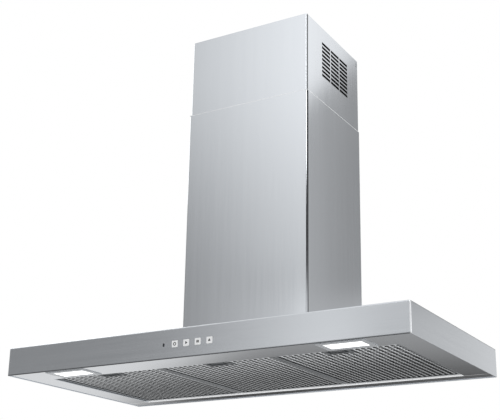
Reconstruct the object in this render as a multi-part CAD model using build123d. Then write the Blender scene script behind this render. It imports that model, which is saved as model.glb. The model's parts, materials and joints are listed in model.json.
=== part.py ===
from build123d import *
import math
import os

# Wall-mounted T-shaped range hood: a shallow box canopy with three grease filters, two lamps and a
# row of push buttons, a centrifugal blower in a steel casing above it, and a two-part telescopic
# flue that hides the blower and the duct.
#
# Units are millimetres. +Z is up, +X is to the right seen from the front, and +Y points to the wall.
# The origin is the middle of the canopy's outline at the level of its bottom edge.

cut_over = 1.0              # how far a cutting shape runs past the faces it cuts

# ---------------------------------------------------------------- canopy
canopy_width = 900.0
canopy_depth = 460.0
canopy_height = 58.5
canopy_sheet = 1.0
canopy_bend = 2.5           # outer radius of the folded corners
hem_thickness = 2.2         # the skirt's lower edge is folded double
hem_height = 12.0
hem_round = 0.8
inlet_margin = 12.0         # the canopy's air hole lies this far inside the casing
inlet_corner = 6.0

wall_y = canopy_depth / 2   # everything at the back ends in this plane
front_y = -canopy_depth / 2
front_inner_y = front_y + canopy_sheet
canopy_ceiling = canopy_height - canopy_sheet

# ---------------------------------------------------------------- underside panel and filter bay
panel_sheet = 1.0
panel_gap = 0.6             # groove between the hem and the panel
panel_recess = 1.2          # the panel's face lies this far above the hem's edge
panel_lip_gap = 0.2         # the panel's outward lip rests on the hem's top edge
panel_corner = 1.5
panel_bend = 1.2
bay_side_margin = 57.0      # canopy side to filter bay
bay_front_margin = 80.0
bay_rear_margin = 40.0
bay_flange = 14.0           # height of the folded wall around the bay
bay_edge_bend = 0.9
bay_corner = 2.0

bay_x = canopy_width / 2 - bay_side_margin
bay_front = front_y + bay_front_margin
bay_rear = wall_y - bay_rear_margin
bay_wall_top = panel_recess + bay_flange
panel_lip_top = hem_height + panel_sheet

# ---------------------------------------------------------------- grease filters
filter_names = ("left", "middle", "right")
filter_gap = 1.5
filter_rear_gap = 2.2       # leaves room for the rear edge to turn
filter_recess = 3.0         # filter face above the panel's face
filter_thickness = 9.0
filter_border = 7.0
filter_sheet = 0.8
filter_corner = 3.0
filter_window_corner = 1.0
mesh_sheet = 0.8
mesh_clearance = 0.15
hinge_setback = 5.0         # hinge line, measured from the filter's rear edge
tab_width = 12.0
tab_length = 8.0
tab_thickness = 2.0
tab_spacing = 160.0
tab_clearance = 0.5

filter_width = (2 * bay_x - (len(filter_names) + 1) * filter_gap) / len(filter_names)
filter_pitch = filter_width + filter_gap
filter_front = bay_front + filter_gap
filter_rear = bay_rear - filter_rear_gap
filter_bottom = panel_recess + filter_recess
filter_top = filter_bottom + filter_thickness
hinge_y = filter_rear - hinge_setback
hinge_z = filter_bottom + filter_thickness / 2

# ---------------------------------------------------------------- filter latches
latch_width = 57.0
latch_depth = 42.0
latch_edge = 1.0
latch_front_wall = 4.0
latch_rear_wall = 8.0
latch_travel = 6.0
pocket_width = 41.0
pocket_corner = 2.0
pocket_roof = 2.5
grip_width = 28.0
grip_thickness = 4.0
grip_height = 3.6
grip_round = 1.2
slider_plate = 2.0
slider_length = 12.0
slider_rear_gap = 1.0       # left in the pocket behind a slider that is drawn right back
slider_side_clearance = 0.3
slider_face_clearance = 0.15
tongue_width = 16.0
tongue_chamfer = 1.0
tongue_short_of_bay = 0.3

pocket_ceiling = filter_top - pocket_roof
slider_top = pocket_ceiling - slider_face_clearance
slider_low = slider_top - slider_plate
tongue_slot_low = slider_low - slider_face_clearance
slider_rear = filter_front + latch_depth - latch_rear_wall - latch_travel - slider_rear_gap

# ---------------------------------------------------------------- lamps
lamp_x = 309.0
lamp_offset_y = 2.0         # the lamps stand a little behind the middle of the front strip
lamp_width = 98.0
lamp_depth = 62.0
lamp_rim = panel_recess     # the rim fills the step from the hem's edge up to the panel's face
lamp_rim_edge = 0.5
lamp_corner = 2.0
lamp_cutout_clearance = 0.3
lamp_tub_margin = 4.0
lamp_tub_height = 16.0
lamp_tub_wall = 1.5
diffuser_width = 77.0
diffuser_depth = 39.0
diffuser_thickness = 2.0
diffuser_inset = 0.5
diffuser_lip = 2.0
diffuser_lip_thickness = 1.0
diffuser_clearance = 0.15
lamp_board_thickness = 1.6
led_size = 3.5
led_height = 0.8
led_columns = 5
led_rows = 2

lamp_y = front_y + bay_front_margin / 2 + lamp_offset_y
diffuser_seat = diffuser_inset + diffuser_thickness

# ---------------------------------------------------------------- push buttons and control board
button_names = ("light", "low", "medium", "high")
button_size = 13.0
button_corner = 1.0
button_edge = 0.3
button_pitch = 26.0
button_row_x = -5.0         # middle of the row that holds the indicator and the buttons
button_z = 27.5
button_proud = 0.8
button_travel = 1.2
button_clearance = 0.3
button_flange = 1.2
button_flange_thickness = 1.0
indicator_width = 4.0
indicator_height = 7.0
indicator_proud = 0.2
keypad_depth = 7.0
keypad_margin = 12.0
keypad_height = 28.0
keypad_guide = 3.2          # length of the guide hole behind the front sheet
board_thickness = 1.6
board_inset = 2.0           # the board is this much smaller than the keypad frame all round
post_size = 4.0
switch_size = 6.0
switch_height = 3.0
plunger_radius = 1.6
plunger_height = 0.9
plunger_gap = 0.2           # between a fully pressed button and its switch
connector_length = 14.0
connector_height = 8.0
connector_depth = 6.0

indicator_x = button_row_x - button_pitch * len(button_names) / 2
button_xs = [indicator_x + button_pitch * (i + 1) for i in range(len(button_names))]
keypad_left = indicator_x - button_size / 2 - keypad_margin
keypad_right = button_xs[-1] + button_size / 2 + keypad_margin
keypad_back = front_inner_y + keypad_depth
button_back = front_inner_y + keypad_guide + button_clearance + button_flange_thickness
board_front = button_back + button_travel + plunger_gap + plunger_height + switch_height

# ---------------------------------------------------------------- flue
flue_width = 300.0
flue_depth = 264.0
flue_sheet = 0.8
flue_bend = 4.0
upper_flue_bend = 3.0
lower_flue_height = 546.0
upper_flue_height = 545.0
flue_step = 2.25            # the upper flue is smaller than the lower by this on each side
flue_visible = 184.5        # height of the upper flue that shows above the lower at rest
flue_foot = 12.0            # inward foot of the lower flue
foot_screw_front = 40.0     # foot screws, measured from the flue's front
foot_screw_rear = 198.0
pad_width = 40.0
pad_height = 15.0
pad_drop = 4.0              # pad's top edge below the flue's
pad_clearance = 0.35
pad_inset = 52.0            # middle of a side pad from the flue's front and from the wall
pad_front_x = 75.0
vent_rows = 9
vent_columns = 3
vent_length = 40.0
vent_height = 5.0
vent_pitch_y = 44.6
vent_pitch_z = 9.75
vent_from_wall = 122.0
vent_drop = 77.5            # middle of the vents below the upper flue's top edge
notch_width = 3.5
notch_height = 8.0
notch_from_wall = 5.7
notch_drop = 9.5

lower_flue_top = canopy_height + lower_flue_height
upper_flue_top = lower_flue_top + flue_visible
upper_flue_bottom = upper_flue_top - upper_flue_height
flue_half_width = flue_width / 2
flue_inner_x = flue_half_width - flue_sheet
flue_front = wall_y - flue_depth
upper_half_width = flue_half_width - flue_step
upper_inner_x = upper_half_width - flue_sheet
upper_front = flue_front + flue_step
pad_thickness = flue_step - flue_sheet - pad_clearance
notch_y = wall_y - notch_from_wall
notch_z = upper_flue_top - notch_drop

# ---------------------------------------------------------------- upper wall bracket
bracket_sheet = 1.5
bracket_height = 16.0
bracket_lug = 14.0
bracket_hole_x = 100.0
bracket_hole_radius = 3.0
lug_hole_radius = 1.7

# ---------------------------------------------------------------- screws
bolt_radius = 2.4
bolt_head_radius = 4.5
bolt_head_height = 3.2
screw_radius = 1.5
screw_head_radius = 3.2
screw_head_height = 2.0
screw_length = 6.0
screw_clearance = 0.1

# ---------------------------------------------------------------- wall plate and blower casing
wall_plate_sheet = 1.5
wall_plate_side_gap = 7.2   # between the plate's edges and the lower flue
wall_plate_height = 290.0
wall_plate_corner = 8.0
wall_hole_inset = 11.0
wall_hole_radius = 4.0
wall_hole_low = 50.0        # above the canopy's top
wall_hole_high = 232.0
plate_clearance = 1.0
casing_side_gap = 29.2      # between the casing and the lower flue
casing_front_gap = 28.0
casing_height = 240.5
casing_sheet = 1.0
casing_bend = 3.0
casing_rear_lip = 14.0
casing_frame_width = 13.0   # how far the bolted frame stands out round the casing
casing_frame_corner = 4.0
frame_bolt_inset = 20.0
frame_bolt_x = 72.0

plate_face_y = wall_y - wall_plate_sheet
wall_plate_half_width = flue_half_width - flue_sheet - wall_plate_side_gap
wall_hole_x = wall_plate_half_width - wall_hole_inset
casing_half_width = flue_half_width - flue_sheet - casing_side_gap
casing_front = flue_front + casing_front_gap
casing_bottom = canopy_height + casing_sheet
casing_top = casing_bottom + casing_height
inlet_x = casing_half_width - inlet_margin
inlet_front = casing_front + inlet_margin
inlet_rear = plate_face_y - inlet_margin

# ---------------------------------------------------------------- blower
impeller_radius = 75.0
impeller_inner_radius = 62.0
impeller_half_width = 56.0
impeller_disc = 2.0
impeller_ring = 4.0
blade_count = 28
blade_thickness = 1.4
blade_angle = 28.0
blade_chord = 13.2
hub_radius = 13.0
hub_length = 26.0
shaft_radius = 4.0
shaft_length = 62.0
shaft_proud = 2.0
shaft_clearance = 0.05
scroll_wall = 2.0
scroll_half_width = 64.0
scroll_start_radius = 82.0
scroll_growth = 33.0        # from the tongue to the outlet
scroll_start_angle = 60.0   # the tongue, measured from +Y towards +Z
scroll_sweep = 240.0
scroll_rim = 8.0
scroll_inlet_radius = 60.0
scroll_front_gap = 3.0      # between the rim and the casing
scroll_bottom_gap = 5.0
scroll_points = 17
scroll_screw_angles = (20.0, 70.0, 120.0, 170.0, 220.0)
scroll_head_radius = 2.4
motor_radius = 42.0
motor_length = 58.0
motor_gap = 3.0             # between the motor and the hub
motor_cap_length = 5.0
motor_cap_step = 4.0
bracket_arm_width = 9.0
bracket_arm_angles = (90.0, 210.0, 330.0)
bracket_ring_width = 8.0
bracket_ring_gap = 1.0
bracket_thickness = 3.0
bracket_collar_length = 12.0

scroll_end_radius = scroll_start_radius + scroll_growth
scroll_low_radius = scroll_start_radius + scroll_growth * (scroll_start_angle + 90.0) / scroll_sweep
scroll_y = casing_front + casing_sheet + scroll_front_gap + scroll_rim + scroll_end_radius
scroll_z = casing_bottom + scroll_bottom_gap + scroll_rim + scroll_low_radius
scroll_outlet_top = casing_top - casing_sheet
motor_right = -hub_length / 2 - motor_gap
motor_left = motor_right - motor_length
shaft_right = hub_length / 2 + shaft_proud
shaft_left = shaft_right - shaft_length

# ---------------------------------------------------------------- outlet spigot and flaps
spigot_radius = 75.0
spigot_wall = 2.0
spigot_height = 60.0
spigot_flange = 11.0
spigot_flange_thickness = 2.0
spigot_flange_corner = 12.0
spigot_front_gap = 5.0      # between the flange and the casing's front
spigot_hole_step = 3.0      # the casing's hole is smaller than the spigot's bore
spigot_screw_inset = 7.0
spindle_radius = 1.5
spindle_height = 24.0
knuckle_radius = 3.2
knuckle_length = 16.0
knuckle_clearance = 0.06
front_knuckle_starts = (-50.0, 12.0)
rear_knuckle_starts = (-30.0, 32.0)
flap_thickness = 1.2
flap_edge_clearance = 1.0
flap_hinge_gap = 4.0
flap_stop_width = 2.4
flap_stop_height = 1.6
flap_stop_clearance = 0.3

spigot_reach = spigot_radius + spigot_flange
spigot_y = casing_front + spigot_front_gap + spigot_reach
spigot_base = casing_top + spigot_flange_thickness
spigot_top = spigot_base + spigot_height
spindle_z = spigot_base + spindle_height
spigot_bore = spigot_radius - spigot_wall
flap_radius = spigot_bore - flap_edge_clearance
flap_stop_top = spindle_z - flap_thickness / 2 - flap_stop_clearance

# ---------------------------------------------------------------- electrics
box_left = 190.0
box_width = 170.0
box_front = 40.0
box_depth = 120.0
box_height = 27.0
box_wall = 2.0
box_corner = 3.0
box_lid = 1.5
module_gap = 1.0            # round the circuit board in the box
module_standoff = 3.0
transformer = (8.0, 10.0, 40.0, 34.0, 15.0)     # x, y, length, depth and height on the board
relay = (62.0, 12.0, 18.0, 28.0, 13.0)
relay_pitch = 24.0
relay_count = 4
fuse_holder = (70.0, 90.0, 70.0, 12.0, 10.0)
filter_cap_radius = 5.0
filter_cap_height = 12.0
filter_cap_pitch = 16.0
filter_cap_y = 70.0
filter_cap_count = 3
capacitor_radius = 14.0
capacitor_length = 62.0
capacitor_gap = 2.0
saddle_start = 24.0
saddle_length = 14.0
tag_pitch = 8.0
tag_length = 6.0
tag_width = 2.0
tag_height = 4.0
terminal_left = -100.0
terminal_width = 40.0
terminal_height = 18.0
terminal_depth = 20.0
terminal_lift = 6.0
terminal_poles = 4
terminal_wire_radius = 2.2
terminal_screw_radius = 2.6
gland_inset = 26.0          # from the casing's side and from the wall plate
gland_radius = 12.0
gland_shank_radius = 8.8
gland_hole_radius = 9.0
gland_bore = 4.2
gland_nut = 5.0
gland_thread = 8.0
gland_hexagon = 8.0
gland_dome_radius = 9.5
gland_dome_round = 3.0
gland_height = 22.0

box_bottom = canopy_ceiling - box_height
gland_x = casing_half_width - gland_inset
gland_y = plate_face_y - gland_inset
gland_low = casing_top - casing_sheet


# ---------------------------------------------------------------- helpers
def block(x0, x1, y0, y1, z0, z1):
    """A box given by its lowest and highest corner."""
    middle = Pos((x0 + x1) / 2, (y0 + y1) / 2, (z0 + z1) / 2)
    return middle * Box(x1 - x0, y1 - y0, z1 - z0)


def tile(x, y, width, depth, z0, z1):
    """A box given by the middle of its plan and its two levels."""
    return block(x - width / 2, x + width / 2, y - depth / 2, y + depth / 2, z0, z1)


def rod(axis, radius, start, end, a, b):
    """A round rod along X, Y or Z; a and b are its place on the other two axes, in X, Y, Z order."""
    length, middle = end - start, (start + end) / 2
    if axis == "X":
        return Pos(middle, a, b) * Rot(0, 90, 0) * Cylinder(radius, length)
    if axis == "Y":
        return Pos(a, middle, b) * Rot(90, 0, 0) * Cylinder(radius, length)
    return Pos(a, b, middle) * Cylinder(radius, length)


def tube(axis, outer, inner, start, end, a, b):
    """A round tube along X, Y or Z."""
    return rod(axis, outer, start, end, a, b) - rod(axis, inner, start - cut_over, end + cut_over, a, b)


def round_upright(shape, radius):
    """Rounds every straight upright edge."""
    return fillet(shape.edges().filter_by(Axis.Z), radius)


def round_front(shape, radius):
    """Rounds the two upright edges nearest the front."""
    return fillet(shape.edges().filter_by(Axis.Z).group_by(Axis.Y)[0], radius)


def bolt(axis, radius, head_radius, head_height, face, a, b):
    """A screw whose head stands on `face`, on the positive side, and whose shank goes the other way."""
    shank = rod(axis, radius, face - screw_length, face, a, b)
    return shank + rod(axis, head_radius, face, face + head_height, a, b)


def screw_hole(axis, radius, start, end, a, b):
    """A clearance hole that runs past both faces."""
    return rod(axis, radius + screw_clearance, start - cut_over, end + cut_over, a, b)


def group(shapes):
    """Separate solids kept in one node."""
    return Compound(children=[solid for shape in shapes for solid in shape.solids()])


def write(name, shape):
    export_step(shape, f"parts/{name}.step")


# ---------------------------------------------------------------- places that several pieces share
def frame_bolt_places():
    """Where the casing's frame is bolted to the canopy's top."""
    side = casing_half_width + casing_frame_width / 2
    first, last = casing_front + frame_bolt_inset, plate_face_y - frame_bolt_inset
    places = [(sign * side, y) for sign in (-1, 1) for y in (first, (first + last) / 2, last)]
    front = casing_front - casing_frame_width / 2
    return places + [(sign * frame_bolt_x, front) for sign in (-1, 1)]


def foot_screw_places():
    """Where the lower flue's foot is screwed to the canopy's top."""
    side = flue_inner_x - flue_foot / 2
    return [(sign * side, flue_front + y) for sign in (-1, 1) for y in (foot_screw_front, foot_screw_rear)]


def spigot_screw_places():
    """The corners of the spigot's flange."""
    reach = spigot_reach - spigot_screw_inset
    return [(sx * reach, spigot_y + sy * reach) for sx in (-1, 1) for sy in (-1, 1)]


def scroll_point(turned, growth):
    """A point of the volute in the YZ plane, `turned` degrees past the tongue."""
    angle = math.radians(scroll_start_angle - turned)
    radius = scroll_start_radius + scroll_growth * turned / scroll_sweep + growth
    return scroll_y + radius * math.cos(angle), scroll_z + radius * math.sin(angle)


def scroll_screw_places():
    """Along the rim, half way across the part of it that stands outside the wall."""
    middle = (scroll_wall + scroll_rim) / 2
    return [scroll_point(turned, middle) for turned in scroll_screw_angles]


def filter_middles():
    first = -(len(filter_names) - 1) / 2 * filter_pitch
    return {name: first + i * filter_pitch for i, name in enumerate(filter_names)}


def tab_places(middle):
    return [middle - tab_spacing / 2, middle + tab_spacing / 2]


# ---------------------------------------------------------------- canopy
def button_prism(x, y0, y1, clearance):
    size = button_size / 2 + clearance
    prism = block(x - size, x + size, y0, y1, button_z - size, button_z + size)
    return fillet(prism.edges().filter_by(Axis.Y), button_corner + clearance)


def indicator_prism(y0, y1):
    outline = Plane((indicator_x, y0, button_z), x_dir=(0, 0, 1), z_dir=(0, 1, 0))
    return extrude(outline * SlotOverall(indicator_height, indicator_width), y1 - y0)


def canopy_shell():
    """The folded box, open below, with a hem along its lower edge and an air hole in its top."""
    outer = round_upright(tile(0, 0, canopy_width, canopy_depth, 0, canopy_height), canopy_bend)
    outer = fillet(outer.edges().group_by(Axis.Z)[-1], canopy_bend)
    outer = fillet(outer.edges().group_by(Axis.Z)[0], hem_round)
    inner_bend = canopy_bend - canopy_sheet
    hollow = tile(0, 0, canopy_width - 2 * canopy_sheet, canopy_depth - 2 * canopy_sheet,
                  hem_height, canopy_ceiling)
    hollow = round_upright(hollow, inner_bend)
    hollow = fillet(hollow.edges().group_by(Axis.Z)[-1], inner_bend)
    mouth = tile(0, 0, canopy_width - 2 * hem_thickness, canopy_depth - 2 * hem_thickness,
                 -cut_over, hem_height + cut_over)
    low, high = canopy_ceiling - cut_over, canopy_height + cut_over
    inlet = round_upright(block(-inlet_x, inlet_x, inlet_front, inlet_rear, low, high), inlet_corner)
    cuts = [hollow, mouth, inlet]
    cuts += [screw_hole("Z", bolt_radius, low, high, *place) for place in frame_bolt_places()]
    cuts += [screw_hole("Z", screw_radius, low, high, *place) for place in foot_screw_places()]
    front, back = front_y - cut_over, front_inner_y + cut_over
    cuts += [button_prism(x, front, back, button_clearance) for x in button_xs]
    cuts.append(indicator_prism(front, back))
    return outer - cuts


def underside_panel():
    """The tray that closes the canopy from below, round the filter bay."""
    margin = hem_thickness + panel_gap
    width, depth = canopy_width - 2 * margin, canopy_depth - 2 * margin
    tray = round_upright(tile(0, 0, width, depth, panel_recess, panel_lip_top), panel_corner)
    tray = fillet(tray.edges().group_by(Axis.Z)[0], panel_bend)
    reach = canopy_sheet + panel_lip_gap
    lip = tile(0, 0, canopy_width - 2 * reach, canopy_depth - 2 * reach, hem_height, panel_lip_top)
    tray += round_upright(lip, canopy_bend)
    tray -= tile(0, 0, width - 2 * panel_sheet, depth - 2 * panel_sheet,
                 panel_recess + panel_sheet, panel_lip_top + cut_over)
    s = panel_sheet
    wall = block(-bay_x - s, bay_x + s, bay_front - s, bay_rear + s, panel_recess, bay_wall_top)
    bay = block(-bay_x, bay_x, bay_front, bay_rear, panel_recess - cut_over, bay_wall_top + cut_over)
    panel = tray + round_upright(wall, bay_corner + s) - round_upright(bay, bay_corner)
    edge = [e for e in panel.edges().group_by(Axis.Z)[0]
            if abs(e.center().X) < bay_x + s and bay_front - s < e.center().Y < bay_rear + s]
    panel = fillet(edge, bay_edge_bend)
    return panel - hinge_notches() - tongue_slots() - lamp_cutouts()


def hinge_notches():
    """Open-topped notches in the bay's rear wall, which the filters' tabs hang in."""
    width = tab_width + 2 * tab_clearance
    low = hinge_z - tab_thickness / 2 - tab_clearance
    middle_y = bay_rear + panel_sheet / 2
    return [tile(x, middle_y, width, panel_sheet + 2 * cut_over, low, bay_wall_top + cut_over)
            for middle in filter_middles().values() for x in tab_places(middle)]


def tongue_slots():
    """Slots in the bay's front wall for the latches' tongues."""
    width = tongue_width + 2 * slider_side_clearance
    middle_y = bay_front - panel_sheet / 2
    return [tile(middle, middle_y, width, panel_sheet + 2 * cut_over, tongue_slot_low,
                 pocket_ceiling + slider_face_clearance) for middle in filter_middles().values()]


def lamp_cutouts():
    width = lamp_width - 2 * lamp_tub_margin + 2 * lamp_cutout_clearance
    depth = lamp_depth - 2 * lamp_tub_margin + 2 * lamp_cutout_clearance
    return [tile(x, lamp_y, width, depth, panel_recess - cut_over, panel_recess + panel_sheet + cut_over)
            for x in (-lamp_x, lamp_x)]


# ---------------------------------------------------------------- filters
def latch_block(middle, z0, z1, clearance=0.0):
    """The place of the latch body, open to the filter's front."""
    half = latch_width / 2 + clearance
    return block(middle - half, middle + half, filter_front, filter_front + latch_depth + clearance, z0, z1)


def filter_frame(middle):
    """A channel of folded sheet round the mesh, with two tabs at the rear."""
    x0, x1 = middle - filter_width / 2, middle + filter_width / 2
    s, b = filter_sheet, filter_border
    outer = block(x0, x1, filter_front, filter_rear, filter_bottom, filter_top)
    outer = round_upright(outer, filter_corner)
    channel = block(x0 + s, x1 - s, filter_front + s, filter_rear - s, filter_bottom + s, filter_top - s)
    low, high = filter_bottom - cut_over, filter_top + cut_over
    window = block(x0 + b, x1 - b, filter_front + b, filter_rear - b, low, high)
    frame = outer - channel - round_upright(window, filter_window_corner) - latch_block(middle, low, high)
    tab_low, tab_high = hinge_z - tab_thickness / 2, hinge_z + tab_thickness / 2
    for x in tab_places(middle):
        frame += block(x - tab_width / 2, x + tab_width / 2, filter_rear - s / 2, filter_rear + tab_length,
                       tab_low, tab_high)
    return frame


def filter_mesh(middle):
    """The pack's two guard sheets, which the frame's lips hold."""
    inset = filter_sheet + mesh_clearance
    x0, x1 = middle - filter_width / 2 + inset, middle + filter_width / 2 - inset
    y0, y1 = filter_front + inset, filter_rear - inset
    notch = latch_block(middle, filter_bottom, filter_top, mesh_clearance)
    low, high = filter_bottom + filter_sheet, filter_top - filter_sheet - mesh_sheet
    return group(round_upright(block(x0, x1, y0, y1, z, z + mesh_sheet), filter_corner) - notch
                 for z in (low, high))


def latch_body(middle):
    """A moulded block with a finger pocket and a slot for the tongue."""
    body = latch_block(middle, filter_bottom, filter_top)
    rear_edge = body.edges().filter_by(Axis.X).group_by(Axis.Z)[0].sort_by(Axis.Y)[-1]
    half = pocket_width / 2
    pocket = block(middle - half, middle + half, filter_front + latch_front_wall,
                   filter_front + latch_depth - latch_rear_wall, filter_bottom - cut_over, pocket_ceiling)
    half = tongue_width / 2 + slider_side_clearance
    slot = block(middle - half, middle + half, filter_front - cut_over,
                 filter_front + latch_front_wall + cut_over, tongue_slot_low, pocket_ceiling)
    return fillet(rear_edge, latch_edge) - round_upright(pocket, pocket_corner) - slot


def latch_slider(middle):
    """A plate under the pocket's roof, with a finger grip below it and a tongue in front."""
    x0, x1 = middle - grip_width / 2, middle + grip_width / 2
    slider_front = slider_rear - slider_length
    plate = block(x0, x1, slider_front, slider_rear, slider_low, slider_top)
    grip_y = (slider_front + slider_rear) / 2
    grip = block(x0, x1, grip_y - grip_thickness / 2, grip_y + grip_thickness / 2,
                 slider_low - grip_height, slider_low)
    grip = fillet(grip.edges().filter_by(Axis.X).group_by(Axis.Z)[0], grip_round)
    tongue = block(middle - tongue_width / 2, middle + tongue_width / 2,
                   bay_front + tongue_short_of_bay, slider_front, slider_low, slider_top)
    nose = tongue.edges().filter_by(Axis.X).group_by(Axis.Z)[0].sort_by(Axis.Y)[0]
    return plate + grip + chamfer(nose, tongue_chamfer)


# ---------------------------------------------------------------- lamps
def lamp_bezel(x):
    """A rim below the panel and a tub above it, with a window for the diffuser."""
    rim = round_upright(tile(x, lamp_y, lamp_width, lamp_depth, 0, lamp_rim), lamp_corner)
    rim = fillet(rim.edges().group_by(Axis.Z)[0], lamp_rim_edge)
    width, depth = lamp_width - 2 * lamp_tub_margin, lamp_depth - 2 * lamp_tub_margin
    tub = tile(x, lamp_y, width, depth, lamp_rim, lamp_tub_height)
    hollow = tile(x, lamp_y, width - 2 * lamp_tub_wall, depth - 2 * lamp_tub_wall,
                  diffuser_seat, lamp_tub_height + cut_over)
    window = tile(x, lamp_y, diffuser_width, diffuser_depth, -cut_over, diffuser_seat + cut_over)
    return rim + tub - hollow - window


def lamp_diffuser(x):
    """A stepped window: its lip lies on the floor of the tub."""
    width, depth = diffuser_width - 2 * diffuser_clearance, diffuser_depth - 2 * diffuser_clearance
    window = tile(x, lamp_y, width, depth, diffuser_inset, diffuser_seat)
    return window + tile(x, lamp_y, width + 2 * diffuser_lip, depth + 2 * diffuser_lip,
                         diffuser_seat, diffuser_seat + diffuser_lip_thickness)


def lamp_board(x):
    """The lamp's circuit board, which closes the tub, with its LEDs facing down."""
    margin = lamp_tub_margin + lamp_tub_wall
    base = lamp_tub_height - lamp_board_thickness
    board = tile(x, lamp_y, lamp_width - 2 * margin, lamp_depth - 2 * margin, base, lamp_tub_height)
    pitch_x, pitch_y = diffuser_width / led_columns, diffuser_depth / led_rows
    for row in range(led_rows):
        for column in range(led_columns):
            led_x = x + (column - (led_columns - 1) / 2) * pitch_x
            led_y = lamp_y + (row - (led_rows - 1) / 2) * pitch_y
            board += tile(led_x, led_y, led_size, led_size, base - led_height, base)
    return board


# ---------------------------------------------------------------- control panel
def button(x):
    """A square cap with a flange behind, which stops it against the keypad frame."""
    cap = button_prism(x, front_y - button_proud, button_back, 0)
    cap = fillet(cap.faces().sort_by(Axis.Y)[0].edges(), button_edge)
    size = button_size / 2 + button_flange
    return cap + block(x - size, x + size, button_back - button_flange_thickness, button_back,
                       button_z - size, button_z + size)


def keypad_frame():
    """The moulding behind the front sheet that guides the buttons and holds the indicator."""
    frame = block(keypad_left, keypad_right, front_inner_y, keypad_back,
                  button_z - keypad_height / 2, button_z + keypad_height / 2)
    size = button_size / 2 + button_flange + button_clearance
    front, back, pocket_y = front_inner_y - cut_over, keypad_back + cut_over, front_inner_y + keypad_guide
    cuts = [indicator_prism(front, back)]
    for x in button_xs:
        cuts.append(button_prism(x, front, back, button_clearance))
        cuts.append(block(x - size, x + size, pocket_y, back, button_z - size, button_z + size))
    return frame - cuts


def indicator_lens():
    return indicator_prism(front_y - indicator_proud, keypad_back)


def control_board():
    """The circuit board behind the keypad frame, on two posts, with its plug connector."""
    left, right = keypad_left + board_inset, keypad_right - board_inset
    half = keypad_height / 2 - board_inset
    back = board_front + board_thickness
    board = block(left, right, board_front, back, button_z - half, button_z + half)
    board += block(left + post_size, left + post_size + connector_length, back, back + connector_depth,
                   button_z - connector_height / 2, button_z + connector_height / 2)
    low = button_z - half
    for x in (left, right - post_size):
        board += block(x, x + post_size, keypad_back, board_front, low, low + post_size)
    return board


def tact_switches():
    half = switch_size / 2
    face = board_front - switch_height
    return group(block(x - half, x + half, face, board_front, button_z - half, button_z + half)
                 + rod("Y", plunger_radius, face - plunger_height, face, x, button_z) for x in button_xs)


# ---------------------------------------------------------------- flue
def flue_cover(half_width, front, bottom, top, bend):
    """A sheet folded to a U that is open to the wall."""
    outer = round_front(block(-half_width, half_width, front, wall_y, bottom, top), bend)
    inner_x = half_width - flue_sheet
    inner = block(-inner_x, inner_x, front + flue_sheet, wall_y + cut_over, bottom - cut_over, top + cut_over)
    return outer - round_front(inner, bend - flue_sheet)


def lower_flue():
    cover = flue_cover(flue_half_width, flue_front, canopy_height, lower_flue_top, flue_bend)
    foot_top = canopy_height + flue_sheet
    front, rear = flue_front + flue_sheet, plate_face_y - plate_clearance
    foot = block(-flue_inner_x, flue_inner_x, front, rear, canopy_height, foot_top)
    foot = round_front(foot, flue_bend - flue_sheet)
    half = flue_inner_x - flue_foot
    low, high = canopy_height - cut_over, foot_top + cut_over
    foot -= block(-half, half, front + flue_foot, rear + cut_over, low, high)
    holes = [screw_hole("Z", screw_radius, low, high, *place) for place in foot_screw_places()]
    return cover + foot - holes


def upper_flue():
    """The sliding section, with vents and a fixing slot on both sides."""
    cover = flue_cover(upper_half_width, upper_front, upper_flue_bottom, upper_flue_top, upper_flue_bend)
    reach = upper_half_width + cut_over
    side = Plane((-reach, 0, 0), x_dir=(0, 1, 0), z_dir=(1, 0, 0))
    centre_y, centre_z = wall_y - vent_from_wall, upper_flue_top - vent_drop
    cuts = []
    for row in range(vent_rows):
        for column in range(vent_columns):
            y = centre_y + (column - (vent_columns - 1) / 2) * vent_pitch_y
            z = centre_z + (row - (vent_rows - 1) / 2) * vent_pitch_z
            cuts.append(extrude(side * Pos(y, z) * SlotOverall(vent_length, vent_height), 2 * reach))
    notch = Pos(notch_y, notch_z) * Rot(0, 0, 90) * SlotOverall(notch_height, notch_width)
    cuts.append(extrude(side * notch, 2 * reach))
    return cover - cuts


def flue_guide_pads():
    """Thin slip pads inside the lower flue's top edge, which centre the upper flue."""
    z1 = lower_flue_top - pad_drop
    z0 = z1 - pad_height
    front = flue_front + flue_sheet + pad_thickness / 2
    pads = []
    for sign in (-1, 1):
        x = sign * (flue_inner_x - pad_thickness / 2)
        pads += [tile(x, y, pad_thickness, pad_width, z0, z1)
                 for y in (flue_front + pad_inset, wall_y - pad_inset)]
        pads.append(tile(sign * pad_front_x, front, pad_width, pad_thickness, z0, z1))
    return group(pads)


def upper_bracket():
    """A strip on the wall behind the upper flue's top, with a lug at each side that it is screwed to."""
    z0, z1 = notch_z - bracket_height / 2, notch_z + bracket_height / 2
    face = wall_y - bracket_sheet
    bracket = block(-upper_inner_x, upper_inner_x, face, wall_y, z0, z1)
    for sign in (-1, 1):
        x = sign * (upper_inner_x - bracket_sheet / 2)
        bracket += tile(x, wall_y - bracket_lug / 2, bracket_sheet, bracket_lug, z0, z1)
    cuts = [rod("Y", bracket_hole_radius, face - cut_over, wall_y + cut_over, sign * bracket_hole_x, notch_z)
            for sign in (-1, 1)]
    reach = upper_inner_x + cut_over
    cuts.append(rod("X", lug_hole_radius, -reach, reach, notch_y, notch_z))
    return bracket - cuts


# ---------------------------------------------------------------- casing and wall plate
def wall_plate():
    plate = block(-wall_plate_half_width, wall_plate_half_width, plate_face_y, wall_y,
                  canopy_height, canopy_height + wall_plate_height)
    plate = fillet(plate.edges().filter_by(Axis.Y).group_by(Axis.Z)[-1], wall_plate_corner)
    holes = [rod("Y", wall_hole_radius, plate_face_y - cut_over, wall_y + cut_over,
                 sign * wall_hole_x, canopy_height + z)
             for sign in (-1, 1) for z in (wall_hole_low, wall_hole_high)]
    return plate - holes


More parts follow.
